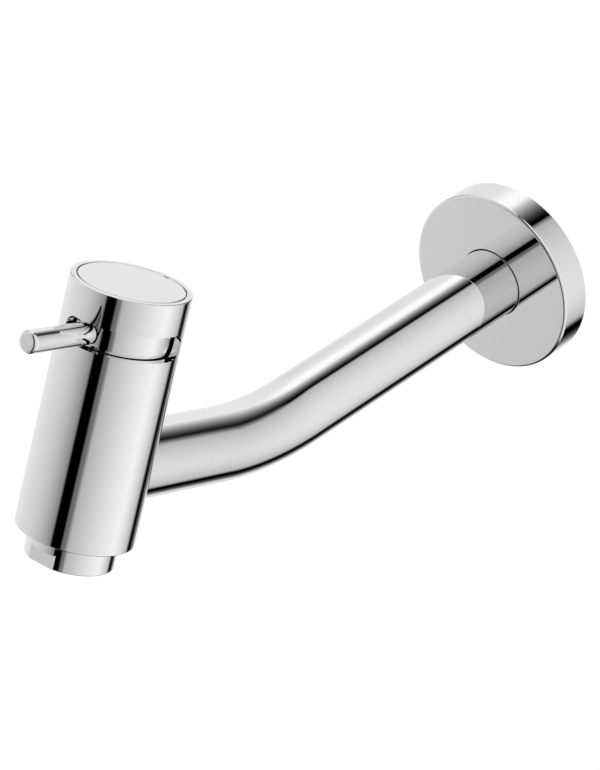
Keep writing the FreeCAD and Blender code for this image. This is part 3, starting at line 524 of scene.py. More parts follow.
@dataclass(frozen=True)
class Chrome(Finish):
    """Mirror-polished chrome plate, faintly wavy as polished brass is, with a wiped haze."""

    tint: Triple = (0.864, 0.864, 0.864)
    shade: float = 0.985
    roughness: float = 0.01
    haze: float = 0.014
    haze_range: Span = (0.22, 0.5)
    wave_depth: float = 1.2e-6
    wave_repeats: float = 160.0

    def surface(self, board: Board) -> Node:
        """Wire the plate: tint, haze and waves.

        Args:
            board: The material's node tree.

        Returns:
            The shader's node.
        """
        point = board.add("ShaderNodeTexCoord").outputs["Object"]
        cloud = board.noise(point, scale=38.0, detail=3.0)
        wipe = board.noise(point, scale=900.0)
        haze = (cloud * wipe).smooth_ramp(*self.haze_range)
        deep = (*(channel * self.shade for channel in self.tint), 1.0)
        colour = board.blend(cloud, deep, (*self.tint, 1.0))
        waves = board.noise(point, self.wave_repeats, detail=1.0)
        return board.add("ShaderNodeBsdfPrincipled", None, {
            "Base Color": colour, "Metallic": 1.0, "Roughness": self.roughness + self.haze * haze,
            "Normal": bumped(board, waves, self.wave_depth)})


@dataclass(frozen=True)
class ChromeWithPaintedBoreShade(Chrome):
    """Chrome plate on the outside of a tube, whose bore is dull and painted near black: painted
    shade for the shadowed inside.
    """

    lathe: Lathe = HEAD_AXIS
    bore: float = 0.0182
    border: float = 0.0001
    # Near-black bore colour: painted shade, not the metal's own colour.
    bore_shade_colour: Triple = (0.014, 0.012, 0.010)
    bore_shade_roughness: float = 0.55

    def surface(self, board: Board) -> Node:
        """Wire the plate, then the painted shade inside it.

        Args:
            board: The material's node tree.

        Returns:
            The shader's node.
        """
        shader = super().surface(board)
        colour, rough = (shader.inputs[name].links[0].from_socket
                         for name in ("Base Color", "Roughness"))
        radius, _ = self.lathe.spread(board, self.lathe.place(board))
        # Inside the bore radius the colour goes near black and dull: painted shade.
        plate = radius.smooth_ramp(self.bore - self.border, self.bore + self.border)
        board.feed(shader.inputs["Base Color"], board.blend(plate, (*self.bore_shade_colour, 1.0), colour))
        rough = self.bore_shade_roughness + plate * (Signal(board, rough) - self.bore_shade_roughness)
        board.feed(shader.inputs["Roughness"], rough)
        return shader


@dataclass(frozen=True)
class TurnedMetal(Finish):
    """Metal as it leaves the lathe: fine tool rings, darker oxide in patches."""

    lathe: Lathe
    bright: Triple
    dull: Triple
    feed: float = 0.00025
    ring_depth: float = 6.0e-6
    ring_wander: float = 3.0
    roughness: float = 0.22
    oxide_range: Span = (0.42, 0.72)
    oxide_roughness: float = 0.16
    wander_roughness: float = 0.05

    def surface(self, board: Board) -> Node:
        """Wire the rings and the oxide.

        Args:
            board: The material's node tree.

        Returns:
            The shader's node.
        """
        point = self.lathe.place(board)
        radius, level = self.lathe.spread(board, point)
        wander = board.noise(point, scale=300.0, detail=3.0)
        phase = (radius + level) * (2.0 * math.pi / self.feed) + wander * self.ring_wander
        rings = phase.math("SINE") * 0.5 + 0.5
        patches = board.noise(point, scale=120.0, detail=4.0, rough=0.6)
        oxide = patches.smooth_ramp(*self.oxide_range)
        colour = board.blend(oxide, (*self.bright, 1.0), (*self.dull, 1.0))
        rough = self.roughness + self.oxide_roughness * oxide + self.wander_roughness * wander
        return board.add("ShaderNodeBsdfPrincipled", None, {
            "Base Color": colour, "Metallic": 1.0, "Roughness": rough,
            "Normal": bumped(board, rings, self.ring_depth)})


@dataclass(frozen=True)
class MouldedOrLapped(Finish):
    """Rubber, plastic or ceramic: patches of a second colour, and a fine grain that dulls it.

    Patches and grain are each a noise's scale, detail and roughness.
    """

    colour: Triple
    patch_colour: Triple
    patches: Triple
    patch_range: Span
    grain: Triple
    grain_depth: float
    roughness: float
    grain_roughness: float

    def surface(self, board: Board) -> Node:
        """Wire the patches and the grain.

        Args:
            board: The material's node tree.

        Returns:
            The shader's node.
        """
        point = board.add("ShaderNodeTexCoord").outputs["Object"]
        patches = board.noise(point, *self.patches).smooth_ramp(*self.patch_range)
        grain = board.noise(point, *self.grain)
        colour = board.blend(patches, (*self.colour, 1.0), (*self.patch_colour, 1.0))
        return board.add("ShaderNodeBsdfPrincipled", None, {
            "Base Color": colour, "Roughness": self.roughness + self.grain_roughness * grain,
            "Normal": bumped(board, grain, self.grain_depth)})


BRASS = ((0.80, 0.62, 0.32), (0.62, 0.45, 0.20))
STEEL = ((0.62, 0.61, 0.59), (0.46, 0.45, 0.43))
CHROME = Chrome("chrome_plate")
# The shell's chrome, with painted shade on its bore.
SHELL_CHROME_WITH_BORE_SHADE = ChromeWithPaintedBoreShade("chrome_plate_with_painted_bore_shade")
WALL_BRASS = TurnedMetal("brass_turned_at_wall", WALL_AXIS, *BRASS)
HEAD_BRASS = TurnedMetal("brass_turned_in_head", HEAD_AXIS, *BRASS)
WALL_STEEL = TurnedMetal("steel_turned_at_wall", WALL_AXIS, *STEEL, feed=0.00018)
HEAD_STEEL = TurnedMetal("steel_turned_in_head", HEAD_AXIS, *STEEL, feed=0.00018)
RUBBER = MouldedOrLapped(
    "sealing_rubber", colour=(0.016, 0.016, 0.017), patch_colour=(0.055, 0.056, 0.058),
    patches=(220.0, 4.0, 0.6), patch_range=(0.45, 0.8), grain=(4200.0, 2.0, 0.5),
    grain_depth=1.5e-5, roughness=0.5, grain_roughness=0.25)
CERAMIC = MouldedOrLapped(
    "lapped_ceramic", colour=(0.80, 0.79, 0.75), patch_colour=(0.62, 0.60, 0.55),
    patches=(3800.0, 3.0, 0.5), patch_range=(0.55, 0.75), grain=(900.0, 3.0, 0.5),
    grain_depth=1.5e-6, roughness=0.16, grain_roughness=0.14)
PLASTIC = MouldedOrLapped(
    "moulded_acetal", colour=(0.74, 0.74, 0.71), patch_colour=(0.66, 0.66, 0.62),
    patches=(140.0, 3.0, 0.5), patch_range=(0.35, 0.7), grain=(2600.0, 2.0, 0.5),
    grain_depth=8.0e-6, roughness=0.34, grain_roughness=0.18)


# Modelling


Outline = list[Span]
WALL_FRAME = Matrix.Rotation(math.radians(90.0), 4, "X")
HEAD_FRAME = (Matrix.Translation(HEAD_CENTRE)
              @ Matrix.Rotation(math.radians(HEAD_LEAN), 4, "X"))
PIN_LEVEL = 50.9
PIN_FRAME = (HEAD_FRAME @ Matrix.Translation((0.0, 0.0, PIN_LEVEL * MM))
             @ Matrix.Rotation(math.radians(90.0), 4, "X"))
FRONT = 0.0
BACK = 180.0
SLOT_BAND = (45.85, 55.75)
WELD = 0.001 * MM
WHITWORTH_HEIGHT = 0.960491
WHITWORTH_DEPTH = 5.0 / 6.0
FINE_ROUND = 0.2
OVERCUT = 1.0


def pick_alone(piece: Part) -> None:
    """Select one object alone and make it active.

    Args:
        piece: The object.
    """
    bpy.ops.object.select_all(action="DESELECT")
    piece.select_set(True)
    bpy.context.view_layer.objects.active = piece


@contextmanager
def editing(piece: Part) -> Iterator[None]:
    """Keep a piece in edit mode for a block of tools.

    Args:
        piece: The piece.
    """
    pick_alone(piece)
    bpy.ops.object.mode_set(mode="EDIT")
    yield
    bpy.ops.object.mode_set(mode="OBJECT")


def pick_edges(piece: Part, wanted: Callable[[Vector], bool]) -> None:
    """Select the edges whose two ends are both wanted.

    Args:
        piece: The object, out of edit mode.
        wanted: Test of a corner's place in millimetres.
    """
    bpy.context.tool_settings.mesh_select_mode = (False, True, False)
    mesh = piece.data
    good = [wanted(vertex.co / MM) for vertex in mesh.vertices]
    for face in mesh.polygons:
        face.select = False
    for vertex in mesh.vertices:
        vertex.select = False
    for edge in mesh.edges:
        edge.select = good[edge.vertices[0]] and good[edge.vertices[1]]


def on_ring(radius: float, level: float) -> Callable[[Vector], bool]:
    """Give the test of a corner's place for a ring about Z. Both sizes are in millimetres."""
    near = 0.01
    return lambda place: (abs(place.z - level) < near
                          and abs(math.hypot(place.x, place.y) - radius) < near)


def apply_place(piece: Part) -> None:
    """Move an object's place, turn and scale into its mesh."""
    pick_alone(piece)
    bpy.ops.object.transform_apply(location=True, rotation=True, scale=True)


def closed_up(piece: Part) -> None:
    """Merge a piece's doubles and turn its faces outwards.

    Args:
        piece: The piece.
    """
    with editing(piece):
        bpy.ops.mesh.select_all(action="SELECT")
        bpy.ops.mesh.remove_doubles(threshold=WELD)
        bpy.ops.mesh.normals_make_consistent(inside=False)


def modified(piece: Part, kind: str, **settings: object) -> None:
    """Give a piece a modifier and apply it.

    Args:
        piece: The piece.
        kind: The modifier's type.
        settings: The modifier's settings.
    """
    pick_alone(piece)
    bpy.ops.object.modifier_add(type=kind)
    modifier = piece.modifiers[-1]
    for key, value in settings.items():
        setattr(modifier, key, value)
    bpy.ops.object.modifier_apply(modifier=modifier.name)


def turned(name: str, outline: Outline, closed: bool = True, steps: int = 256) -> Part:
    """Turn an outline about Z: a ring is added, then extruded and resized from corner to corner.

    Args:
        name: The piece's name.
        outline: Corners as (radius, level) in millimetres.
        closed: Whether the last corner joins the first; if not, both ends are capped.
        steps: Sides of the ring.

    Returns:
        The turned object.
    """
    radius, level = outline[0]
    bpy.ops.object.select_all(action="DESELECT")
    bpy.ops.mesh.primitive_circle_add(vertices=steps, radius=radius * MM,
                                      location=(0.0, 0.0, level * MM))
    piece = bpy.context.object
    piece.name = name
    piece.data.name = name
    with editing(piece):
        bpy.ops.mesh.select_all(action="SELECT")
        for next_radius, next_level in (*outline[1:], outline[0]) if closed else outline[1:]:
            bpy.ops.mesh.extrude_region_move(
                TRANSFORM_OT_translate={"value": (0.0, 0.0, (next_level - level) * MM)})
            grow = next_radius / radius
            if grow != 1.0:
                bpy.ops.transform.resize(value=(grow, grow, 1.0),
                                         center_override=(0.0, 0.0, next_level * MM))
            radius, level = next_radius, next_level
        if not closed:
            bpy.ops.mesh.edge_face_add()
    apply_place(piece)
    if not closed:
        pick_edges(piece, on_ring(*outline[0]))
        with editing(piece):
            bpy.ops.mesh.edge_face_add()
    closed_up(piece)
    return piece


def rounded(piece: Part, corners: list[Triple], segments: int = 4) -> None:
    """Round rings of a turned piece.

    Args:
        piece: The turned piece.
        corners: Rings as (radius, level, width of the rounding) in millimetres.
        segments: Steps across each rounding.
    """
    for radius, level, width in corners:
        pick_edges(piece, on_ring(radius, level))
        with editing(piece):
            bpy.ops.mesh.bevel(offset=width * MM, segments=segments, affect="EDGES")


class Cut(Enum):
    """What a tool's shape does to a piece."""

    AWAY = "DIFFERENCE"
    KEEP = "INTERSECT"
    ADD = "UNION"


def worked(piece: Part, tool: Part, cut: Cut = Cut.AWAY) -> None:
    """Cut a piece with a tool's shape and put the tool away.

    Args:
        piece: What is cut.
        tool: The cutting shape.
        cut: What the tool does.
    """
    modified(piece, "BOOLEAN", object=tool, operation=cut.value, solver="EXACT")
    pick_alone(tool)
    bpy.ops.object.delete()


def drill(radius: float, near: float, far: float, angle: float, level: float,
          steps: int = 96) -> Part:
    """Make a round tool that lies across Z.

    Args:
        radius: Its radius in millimetres.
        near: Where it starts, out from Z.
        far: Where it ends.
        angle: Its direction in degrees from the front, positive to the right.
        level: Its height.
        steps: Its sides.

    Returns:
        The tool.
    """
    turn = math.radians(angle)
    middle = (near + far) / 2.0 * MM
    bpy.ops.object.select_all(action="DESELECT")
    bpy.ops.mesh.primitive_cylinder_add(
        vertices=steps, radius=radius * MM, depth=(far - near) * MM,
        location=(middle * math.sin(turn), -middle * math.cos(turn), level * MM),
        rotation=(math.radians(90.0), 0.0, turn))
    tool = bpy.context.object
    apply_place(tool)
    return tool


def block(low: Triple, high: Triple) -> Part:
    """Make a square tool between two corners.

    Args:
        low: Its lowest corner in millimetres.
        high: Its highest corner.

    Returns:
        The tool.
    """
    bpy.ops.object.select_all(action="DESELECT")
    centre = [(a + b) / 2.0 * MM for a, b in zip(low, high)]
    bpy.ops.mesh.primitive_cube_add(size=1.0, location=centre,
                                    scale=[(b - a) * MM for a, b in zip(low, high)])
    tool = bpy.context.object
    apply_place(tool)
    return tool


def slot_tool(inner: float, outer: float, half: float, level: float, first: float,
              last: float) -> Part:
    """Make the tool for a slot round Z: an upright section, spun from one end to the other.

    Args:
        inner: Radius where it starts, in millimetres.
        outer: Radius where it ends.
        half: Half its height.
        level: Its middle.
        first: First angle in degrees from the front, positive to the right.
        last: Last angle.

    Returns:
        The tool.
    """
    turn, sweep, per_degree = math.radians(first), last - first, 1.4
    middle = (inner + outer) / 2.0 * MM
    bpy.ops.object.select_all(action="DESELECT")
    bpy.ops.mesh.primitive_plane_add(
        size=1.0, location=(middle * math.sin(turn), -middle * math.cos(turn), level * MM),
        rotation=(math.radians(90.0), 0.0, turn - math.radians(90.0)))
    tool = bpy.context.object
    tool.scale = ((outer - inner) * MM, 2.0 * half * MM, 1.0)
    apply_place(tool)
    with editing(tool):
        bpy.ops.mesh.select_all(action="SELECT")
        bpy.ops.mesh.spin(steps=round(sweep * per_degree), angle=math.radians(sweep),
                          center=(0.0, 0.0, 0.0), axis=(0.0, 0.0, -1.0))
    closed_up(tool)
    return tool


def settled(piece: Part, place: Matrix, angle: float = 32.0) -> Part:
    """Put a shaped piece in its place and give it clean shading.

    Args:
        piece: The piece, shaped about Z.
        place: Its frame in the tap.
        angle: Degrees from which an edge stays sharp.

    Returns:
        The same piece.
    """
    piece.matrix_world = place
    apply_place(piece)
    bpy.ops.object.shade_smooth_by_angle(angle=math.radians(angle))
    modified(piece, "WEIGHTED_NORMAL", keep_sharp=True)
    return piece


def thread_ridge(major: float, pitch: float, foot: float, top: float) -> Part:
    """Make the ridge of a pipe thread: a pointed section, screwed up Z.

    Args:
        major: Radius of the finished crest in millimetres.
        pitch: Rise of one turn.
        foot: Lowest level of the thread.
        top: Highest level.

    Returns:
        The ridge, a little longer than the thread and with a sharp crest.
    """
    height = WHITWORTH_HEIGHT * pitch
    root = major - height * WHITWORTH_DEPTH
    start = (root * MM, 0.0, (foot - pitch) * MM)
    gap_left = 0.985
    bpy.ops.object.select_all(action="DESELECT")
    bpy.ops.mesh.primitive_circle_add(vertices=4, radius=pitch / 2.0 * MM * gap_left,
                                      location=start, rotation=(math.radians(90.0), 0.0, 0.0))
    ridge = bpy.context.object
    with editing(ridge):
        bpy.ops.mesh.select_all(action="SELECT")
        bpy.ops.transform.resize(value=(2.0 * height / pitch, 1.0, 1.0), center_override=start)
    apply_place(ridge)
    modified(ridge, "SCREW", axis="Z", screw_offset=pitch * MM, steps=72, render_steps=72,
             iterations=math.ceil((top - foot) / pitch) + 2)
    bpy.context.tool_settings.mesh_select_mode = (True, False, False)
    with editing(ridge):
        bpy.ops.mesh.select_all(action="DESELECT")
        bpy.ops.mesh.select_non_manifold()
        bpy.ops.mesh.fill_holes(sides=0)
        bpy.ops.mesh.select_all(action="SELECT")
        bpy.ops.mesh.normals_make_consistent(inside=False)
    return ridge


# Sub-assemblies


Makers = dict[str, tuple[Callable[[], Part], Finish, str]]


@dataclass
class SubAssembly:
    """A group of pieces that is put together as one. Its sizes are in millimetres and degrees."""

    label: str = ""
    body: str = "tap_body"

    def finishes(self) -> dict[str, Finish]:
        """Give the finishes of the frame's own pieces."""
        return {}

    def makers(self) -> Makers:
        """Give the maker, finish and slot of each node that is modelled here."""
        return {}

    def build(self) -> None:
        """Dress the frame's own pieces, then make the finer ones and put them in their place."""
        for node, finish in self.finishes().items():
            finish.dress(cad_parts[node])
            log.info("%s: %s in %s", self.label, node, finish.name)
        for node, (make, finish, slot) in self.makers().items():
            piece = make()
            finish.dress(piece)
            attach(piece, self.body)
            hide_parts(node)
            log.info("%s: %s modelled in %s, %d faces", self.label, piece.name, finish.name,
                     len(piece.data.polygons))


@dataclass
class WallFixing(SubAssembly):
    """Flange with its rings, and the threaded nipple that carries the spout."""

    label: str = "wall fixing"
    flange_radius: float = 35.0
    flange_thickness: float = 12.4
    flange_bore: float = 13.5
    hub_radius: float = 17.0
    hub_back: float = 5.0
    plate_back: float = 9.4
    rim_inner: float = 29.8
    gasket_groove: Span = (30.4, 34.4)
    gasket_depth: float = 1.2
    grip_groove: Span = (5.9, 8.5)
    grip_floor: float = 15.2
    face_round: float = 1.15
    bore_round: float = 0.25
    hub_round: float = 0.8
    plate_round: float = 1.2
    nipple_bore: float = 5.8
    nipple_tip: float = 30.0
    tip_chamfer: float = 0.8
    collar_radius: float = 12.5
    collar_height: float = 1.3
    spigot_radius: float = 9.0
    set_groove: tuple[float, float, float, float] = (2.3, 3.7, 5.5, 6.9)
    set_floor: float = 7.6
    ring_grooves: tuple[Span, ...] = ((10.3, 12.7), (15.3, 17.7))
    ring_floor: float = 7.25
    key_flats: float = 12.0
    key_foot: float = 21.0
    thread_radius: float = 10.4775
    thread_root: float = 9.3155
    thread_pitch: float = 1.8143
    thread_length: float = 14.0
    thread_chamfer: float = 1.2
    thread_runout: float = 0.4
    thread_bite: float = 0.6
    lead_width: float = 0.3
    lead_height: float = 0.6

    def finishes(self) -> dict[str, Finish]:
        """Give the finishes of the frame's own pieces."""
        return {"flange_wall_gasket": RUBBER, "flange_grip_ring": RUBBER, "inlet_o_rings": RUBBER,
                "tube_end_sleeve": WALL_BRASS, "spout_set_screw": WALL_STEEL}

    def makers(self) -> Makers:
        """Give the flange and the nipple."""
        return {"wall_flange": (self.flange, CHROME, "chrome"),
                "inlet_nipple": (self.nipple, WALL_BRASS, "brass")}

    def flange(self) -> Part:
        """Turn the hollow flange with its hub and its two ring grooves.

        Returns:
            The piece.
        """
        rim, bore, face = self.flange_radius, self.flange_bore, self.flange_thickness
        hub, plate, hollow = self.hub_radius, self.plate_back, self.rim_inner
        near, far = self.gasket_groove
        low, high = self.grip_groove
        piece = turned("flange_cover", [
            (bore, self.hub_back), (hub, self.hub_back), (hub, plate), (hollow, plate),
            (hollow, 0.0), (near, 0.0), (near, self.gasket_depth), (far, self.gasket_depth),
            (far, 0.0), (rim, 0.0), (rim, face), (bore, face), (bore, high),
            (self.grip_floor, high), (self.grip_floor, low), (bore, low)], steps=384)
        rounded(piece, [(rim, face, self.face_round), (bore, face, self.bore_round),
                        (rim, 0.0, FINE_ROUND)], segments=8)
        rounded(piece, [(hub, plate, self.hub_round), (hollow, plate, self.plate_round)],
                segments=5)
        return settled(piece, WALL_FRAME)

    def nipple(self) -> Part:
        """Turn the nipple, screw its thread's ridge on and sink the hexagon for its key.

        Returns:
            The piece.
        """
        core, crest, foot = self.thread_root, self.thread_radius, -self.thread_length
        bore, collar, top = self.nipple_bore, self.collar_radius, self.collar_height
        spigot, tip, chamfer = self.spigot_radius, self.nipple_tip, self.tip_chamfer
        dip = zip((spigot, self.set_floor, self.set_floor, spigot), self.set_groove)
        grooves = [corner for low, high in self.ring_grooves for corner in (
            (spigot, low), (self.ring_floor, low), (self.ring_floor, high), (spigot, high))]
        piece = turned("wall_nipple", [
            (bore, foot), (core - self.lead_width, foot), (core, foot + self.lead_height),
            (core, 0.0), (collar, 0.0), (collar, top), (spigot, top), *dip, *grooves,
            (spigot, tip - chamfer), (spigot - chamfer, tip), (bore, tip)], steps=144)
        rounded(piece, [(collar, level, FINE_ROUND) for level in (0.0, top)], segments=2)
        ridge = thread_ridge(crest, self.thread_pitch, foot, 0.0)
        inside, runout, lead = core - self.thread_bite, -self.thread_runout, self.thread_chamfer
        envelope = turned("thread_envelope", [
            (inside, foot), (crest - lead, foot), (crest, foot + lead), (crest, runout),
            (inside, runout)], steps=144)
        worked(ridge, envelope, Cut.KEEP)
        worked(piece, ridge, Cut.ADD)
        corner = self.key_flats / 2.0 / math.cos(math.pi / 6.0)
        key = turned("key_tool", [(corner, self.key_foot), (corner, tip + OVERCUT)],
                     closed=False, steps=6)
        worked(piece, key)
        with editing(piece):
            bpy.ops.mesh.select_all(action="SELECT")
            bpy.ops.mesh.remove_doubles(threshold=2.0 * WELD)
            bpy.ops.mesh.dissolve_degenerate(threshold=2.0 * WELD)
        return settled(piece, WALL_FRAME, angle=28.0)


@dataclass
class Spout(SubAssembly):
    """The bent tube from the wall to the head."""

    label: str = "spout"
    tube_radius: float = 13.2
    tube_wall: float = 2.0
    start: float = 1.5
    run: float = 145.9
    arm: float = 73.9
    rise: float = 20.0
    bend_radius: float = 125.0
    hidden_length: float = 11.5
    screw_radius: float = 2.62
    screw_setback: float = 4.6
    screw_reach: Span = (9.0, 15.0)

    def makers(self) -> Makers:
        """Give the tube."""
        return {"spout_tube": (self.tube, CHROME, "chrome")}

    def tube(self) -> Part:
        """Draw a ring out along the run, spin it round the bend and draw it up the arm.

        Returns:
            The piece.
        """
        rise, hidden = math.radians(self.rise), self.hidden_length
        setback = self.bend_radius * math.tan(rise / 2.0)
        bend_start = self.run - setback
        bpy.ops.object.select_all(action="DESELECT")
        bpy.ops.mesh.primitive_circle_add(vertices=256, radius=self.tube_radius * MM,
                                          location=(0.0, -self.start * MM, 0.0),
                                          rotation=(math.radians(90.0), 0.0, 0.0))
        piece = bpy.context.object
        piece.name = "spout_pipe"
        apply_place(piece)
        with editing(piece):
            bpy.ops.mesh.select_all(action="SELECT")
            for reach in (hidden - self.start, bend_start - hidden):
                bpy.ops.mesh.extrude_region_move(
                    TRANSFORM_OT_translate={"value": (0.0, -reach * MM, 0.0)})
            bpy.ops.mesh.spin(steps=48, angle=rise, axis=(1.0, 0.0, 0.0),
                              center=(0.0, -bend_start * MM, self.bend_radius * MM))
            along = (self.arm - setback) * MM
            bpy.ops.mesh.extrude_region_move(TRANSFORM_OT_translate={
                "value": (0.0, -math.cos(rise) * along, math.sin(rise) * along)})
        closed_up(piece)
        modified(piece, "SOLIDIFY", thickness=self.tube_wall * MM, offset=-1.0,
                 use_even_offset=True)
        hole = drill(self.screw_radius, *self.screw_reach, BACK, 0.0, steps=48)
        for place in (Matrix.Rotation(math.radians(90.0), 4, "X"),
                      Matrix.Translation((0.0, -self.screw_setback * MM, 0.0))):
            hole.matrix_world = place
            apply_place(hole)
        worked(piece, hole)
        return settled(piece, Matrix.Identity(4))


@dataclass
class Head(SubAssembly):
    """Shell, core and cover of the head. Levels are counted along it from the spout's axis."""

    label: str = "head"
    radius: float = 20.5
    bore: float = 18.0
    seat: float = 18.5
    foot: float = -22.4
    top: float = 66.8
    top_round: float = 0.45
    foot_round: float = 0.4
    clear: float = 24.0
    port_radius: float = 13.22
    port_start: float = 10.0
    port_band: Span = (-14.2, 14.2)
    slot_half: float = 4.45
    slot_start: float = 15.0
    slot_end_start: float = 12.0
    slot_angles: Span = (-11.0, 101.0)
    cover_thickness: float = 2.0
    cover_radius: float = 18.1
    cover_centre: float = 4.0
    spigot_radius: float = 17.4
    spigot_wall: float = 2.6
    spigot_foot: float = 61.2
    groove: Span = (62.0, 64.0)
    groove_floor: float = 16.5
    notch_low: Triple = (-1.1, 17.3, 65.3)
    notch_high: Triple = (1.1, 20.0, 68.0)

    def finishes(self) -> dict[str, Finish]:
        """Give the finishes of the frame's own pieces."""
        return {"cover_o_ring": RUBBER, "valve_body": HEAD_BRASS}

    def makers(self) -> Makers:
        """Give the shell and the cover disc."""
        return {"head_shell": (self.shell, SHELL_CHROME_WITH_BORE_SHADE, "chrome"),
                "cover_disc": (self.cover, CHROME, "chrome")}

    def shell(self) -> Part:
        """Turn the shell and cut the spout's port and the lever's slot.

        Returns:
            The piece.
        """
        wall, bore, seat, foot, top = self.radius, self.bore, self.seat, self.foot, self.top
        step = top - self.cover_thickness
        bands = (*self.port_band, *SLOT_BAND)
        piece = turned("head_barrel", [
            (bore, foot), (wall, foot), *((wall, level) for level in bands), (wall, top),
            (seat, top), (seat, step), (bore, step),
            *((bore, level) for level in reversed(bands))], steps=384)
        rounded(piece, [(wall, top, self.top_round), (wall, foot, self.foot_round)], segments=6)
        rounded(piece, [(seat, top, FINE_ROUND), (bore, foot, FINE_ROUND)], segments=3)
        worked(piece, drill(self.port_radius, self.port_start, self.clear, BACK, 0.0, steps=192))
        worked(piece, slot_tool(self.slot_start, self.clear, self.slot_half, PIN_LEVEL,
                                *self.slot_angles))
        for end in self.slot_angles:
            worked(piece, drill(self.slot_half, self.slot_end_start, self.clear, end, PIN_LEVEL))
        return settled(piece, HEAD_FRAME)

    def cover(self) -> Part:
        """Turn the cover disc with its grooved spigot, and cut the notch that it is prised out by.

        Returns:
            The piece.
        """
        step, foot, centre = self.top - self.cover_thickness, self.spigot_foot, self.cover_centre
        spigot, inner = self.spigot_radius, self.spigot_radius - self.spigot_wall
        low, high = self.groove
        piece = turned("head_cover", [
            (centre, step), (inner, step), (inner, foot), (spigot, foot), (spigot, low),
            (self.groove_floor, low), (self.groove_floor, high), (spigot, high), (spigot, step),
            (self.cover_radius, step), (self.cover_radius, self.top), (centre, self.top)],
            closed=False, steps=384)
        rounded(piece, [(self.cover_radius, self.top, FINE_ROUND)])
        worked(piece, block(self.notch_low, self.notch_high))
        return settled(piece, HEAD_FRAME)


@dataclass
class Cartridge(SubAssembly):
    """The standing part of the quarter-turn cartridge."""

    label: str = "cartridge"

    def finishes(self) -> dict[str, Finish]:
        """Give the finishes of the frame's own pieces."""
        return {"cartridge_housing": HEAD_BRASS, "cartridge_seal_ring": RUBBER,
                "cartridge_base_seal": RUBBER, "fixed_ceramic_disc": CERAMIC}


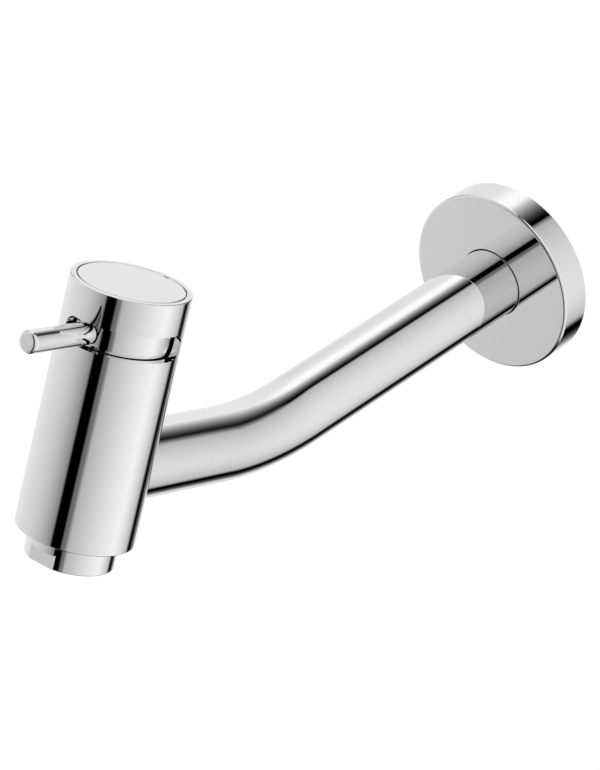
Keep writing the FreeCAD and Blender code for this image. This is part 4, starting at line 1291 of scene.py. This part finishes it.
@dataclass
class Lever(SubAssembly):
    """Everything that turns: pin, drum and the cartridge's spindle with its disc."""

    label: str = "lever"
    body: str = "lever"
    pin_radius: float = 3.9
    pin_reach: float = 46.5
    pin_tip_round: float = 1.4
    pin_seat: float = 14.5
    pin_fit: float = 0.05
    ring_gap: float = 0.4
    seat_grip: float = 0.3
    stud_radius: float = 2.5
    stud_tip: float = 8.5
    stud_round: float = 0.3
    stud_fit: float = 0.1
    stud_play: float = 0.25
    clear: float = 20.0
    drum_radius: float = 17.3
    drum_top: float = 58.95
    drum_foot: float = 40.25
    drum_round: float = 0.4
    shoulder: float = 43.45
    neck: float = 15.43
    insert_radius: float = 7.02
    well_radius: float = 4.6
    screw_radius: float = 2.25
    web_top: float = 2.45
    web_bottom: float = 2.95

    def finishes(self) -> dict[str, Finish]:
        """Give the finishes of the frame's own pieces."""
        return {"hub_slide_ring": PLASTIC, "spline_insert": PLASTIC, "hub_screw": HEAD_STEEL,
                "moving_ceramic_disc": CERAMIC, "spindle": HEAD_BRASS, "spindle_o_rings": RUBBER,
                "thrust_washer": PLASTIC, "spindle_clip": HEAD_STEEL}

    def makers(self) -> Makers:
        """Give the pin and the drum."""
        return {"lever_pin": (self.pin, CHROME, "chrome"),
                "lever_hub": (self.drum, CHROME, "chrome")}

    def pin(self) -> Part:
        """Turn the pin with its stud.

        Returns:
            The piece.
        """
        piece = turned("lever_rod", [
            (self.stud_radius, self.stud_tip), (self.stud_radius, self.pin_seat),
            (self.pin_radius, self.pin_seat), (self.pin_radius, self.pin_reach)],
            closed=False, steps=192)
        rounded(piece, [(self.pin_radius, self.pin_reach, self.pin_tip_round)], segments=12)
        rounded(piece, [(self.stud_radius, self.stud_tip, self.stud_round)], segments=2)
        return settled(piece, PIN_FRAME)

    def drum(self) -> Part:
        """Turn the drum and sink the pin's seat, the ring round it and the stud's hole.

        Returns:
            The piece.
        """
        wall, insert = self.drum_radius, self.insert_radius
        well, hole = self.well_radius, self.screw_radius
        floor, ceiling = PIN_LEVEL - self.web_bottom, PIN_LEVEL + self.web_top
        piece = turned("lever_drum", [
            (insert, self.drum_foot), (self.neck, self.drum_foot), (self.neck, self.shoulder),
            (wall, self.shoulder), *((wall, level) for level in SLOT_BAND), (wall, self.drum_top),
            (well, self.drum_top), (well, ceiling), (hole, ceiling), (hole, floor),
            (insert, floor)], steps=320)
        rounded(piece, [(wall, self.drum_top, self.drum_round)], segments=5)
        seat, clear = self.pin_seat, self.clear
        for radius, near, far, steps in (
                (self.pin_radius + self.pin_fit, seat, clear, 128),
                (self.pin_radius + self.ring_gap, seat + self.seat_grip, clear, 128),
                (self.stud_radius + self.stud_fit, self.stud_tip - self.stud_play,
                 seat + OVERCUT / 2.0, 64)):
            worked(piece, drill(radius, near, far, FRONT, PIN_LEVEL, steps))
        return settled(piece, HEAD_FRAME)


@dataclass
class Outlet(SubAssembly):
    """Collar under the head, and the aerator in it."""

    label: str = "outlet"
    radius: float = 15.35
    thread_radius: float = 14.0
    bore: float = 11.7
    lip: float = 10.6
    foot: float = -32.0
    ledge: float = -29.8
    shoulder: float = -22.1
    top: float = -17.4
    foot_round: float = 0.4
    lip_round: float = 0.35
    flats: float = 28.7
    flats_top: float = -27.0
    flats_land: float = 0.6
    clear: float = 2.0

    def finishes(self) -> dict[str, Finish]:
        """Give the finishes of the frame's own pieces."""
        return {"aerator_gasket": RUBBER, "aerator_insert": PLASTIC, "aerator_outlet_grid": PLASTIC,
                "aerator_strainer": PLASTIC, "flow_regulator": PLASTIC, "regulator_ring": RUBBER}

    def makers(self) -> Makers:
        """Give the collar."""
        return {"aerator_housing": (self.collar, CHROME, "chrome")}

    def collar(self) -> Part:
        """Turn the collar and mill its two spanner flats.

        Returns:
            The piece.
        """
        wall, thread, foot = self.radius, self.thread_radius, self.foot
        piece = turned("outlet_collar", [
            (self.lip, foot), (wall, foot), (wall, self.flats_top + self.flats_land),
            (wall, self.shoulder), (thread, self.shoulder), (thread, self.top),
            (self.bore, self.top), (self.bore, self.ledge), (self.lip, self.ledge)], steps=320)
        rounded(piece, [(wall, foot, self.foot_round), (self.lip, foot, self.lip_round)])
        reach, half = wall + self.clear, self.flats / 2.0
        for side in (-1.0, 1.0):
            near, far = sorted((side * half, side * reach))
            worked(piece, block((-reach, near, foot - OVERCUT), (reach, far, self.flats_top)))
        return settled(piece, HEAD_FRAME)


def main() -> None:
    """Build the sub-assemblies in order, then the studio and the camera."""
    logging.basicConfig(level=logging.INFO, format="%(message)s")
    for group in (WallFixing(), Spout(), Head(), Cartridge(), Lever(), Outlet()):
        group.build()
    studio = Studio()
    studio.light_world()
    studio.lay_floor()
    Viewpoint().set_up()
    scene = bpy.context.scene
    scene.view_settings.view_transform = "Standard"


if __name__ == "__main__":
    main()
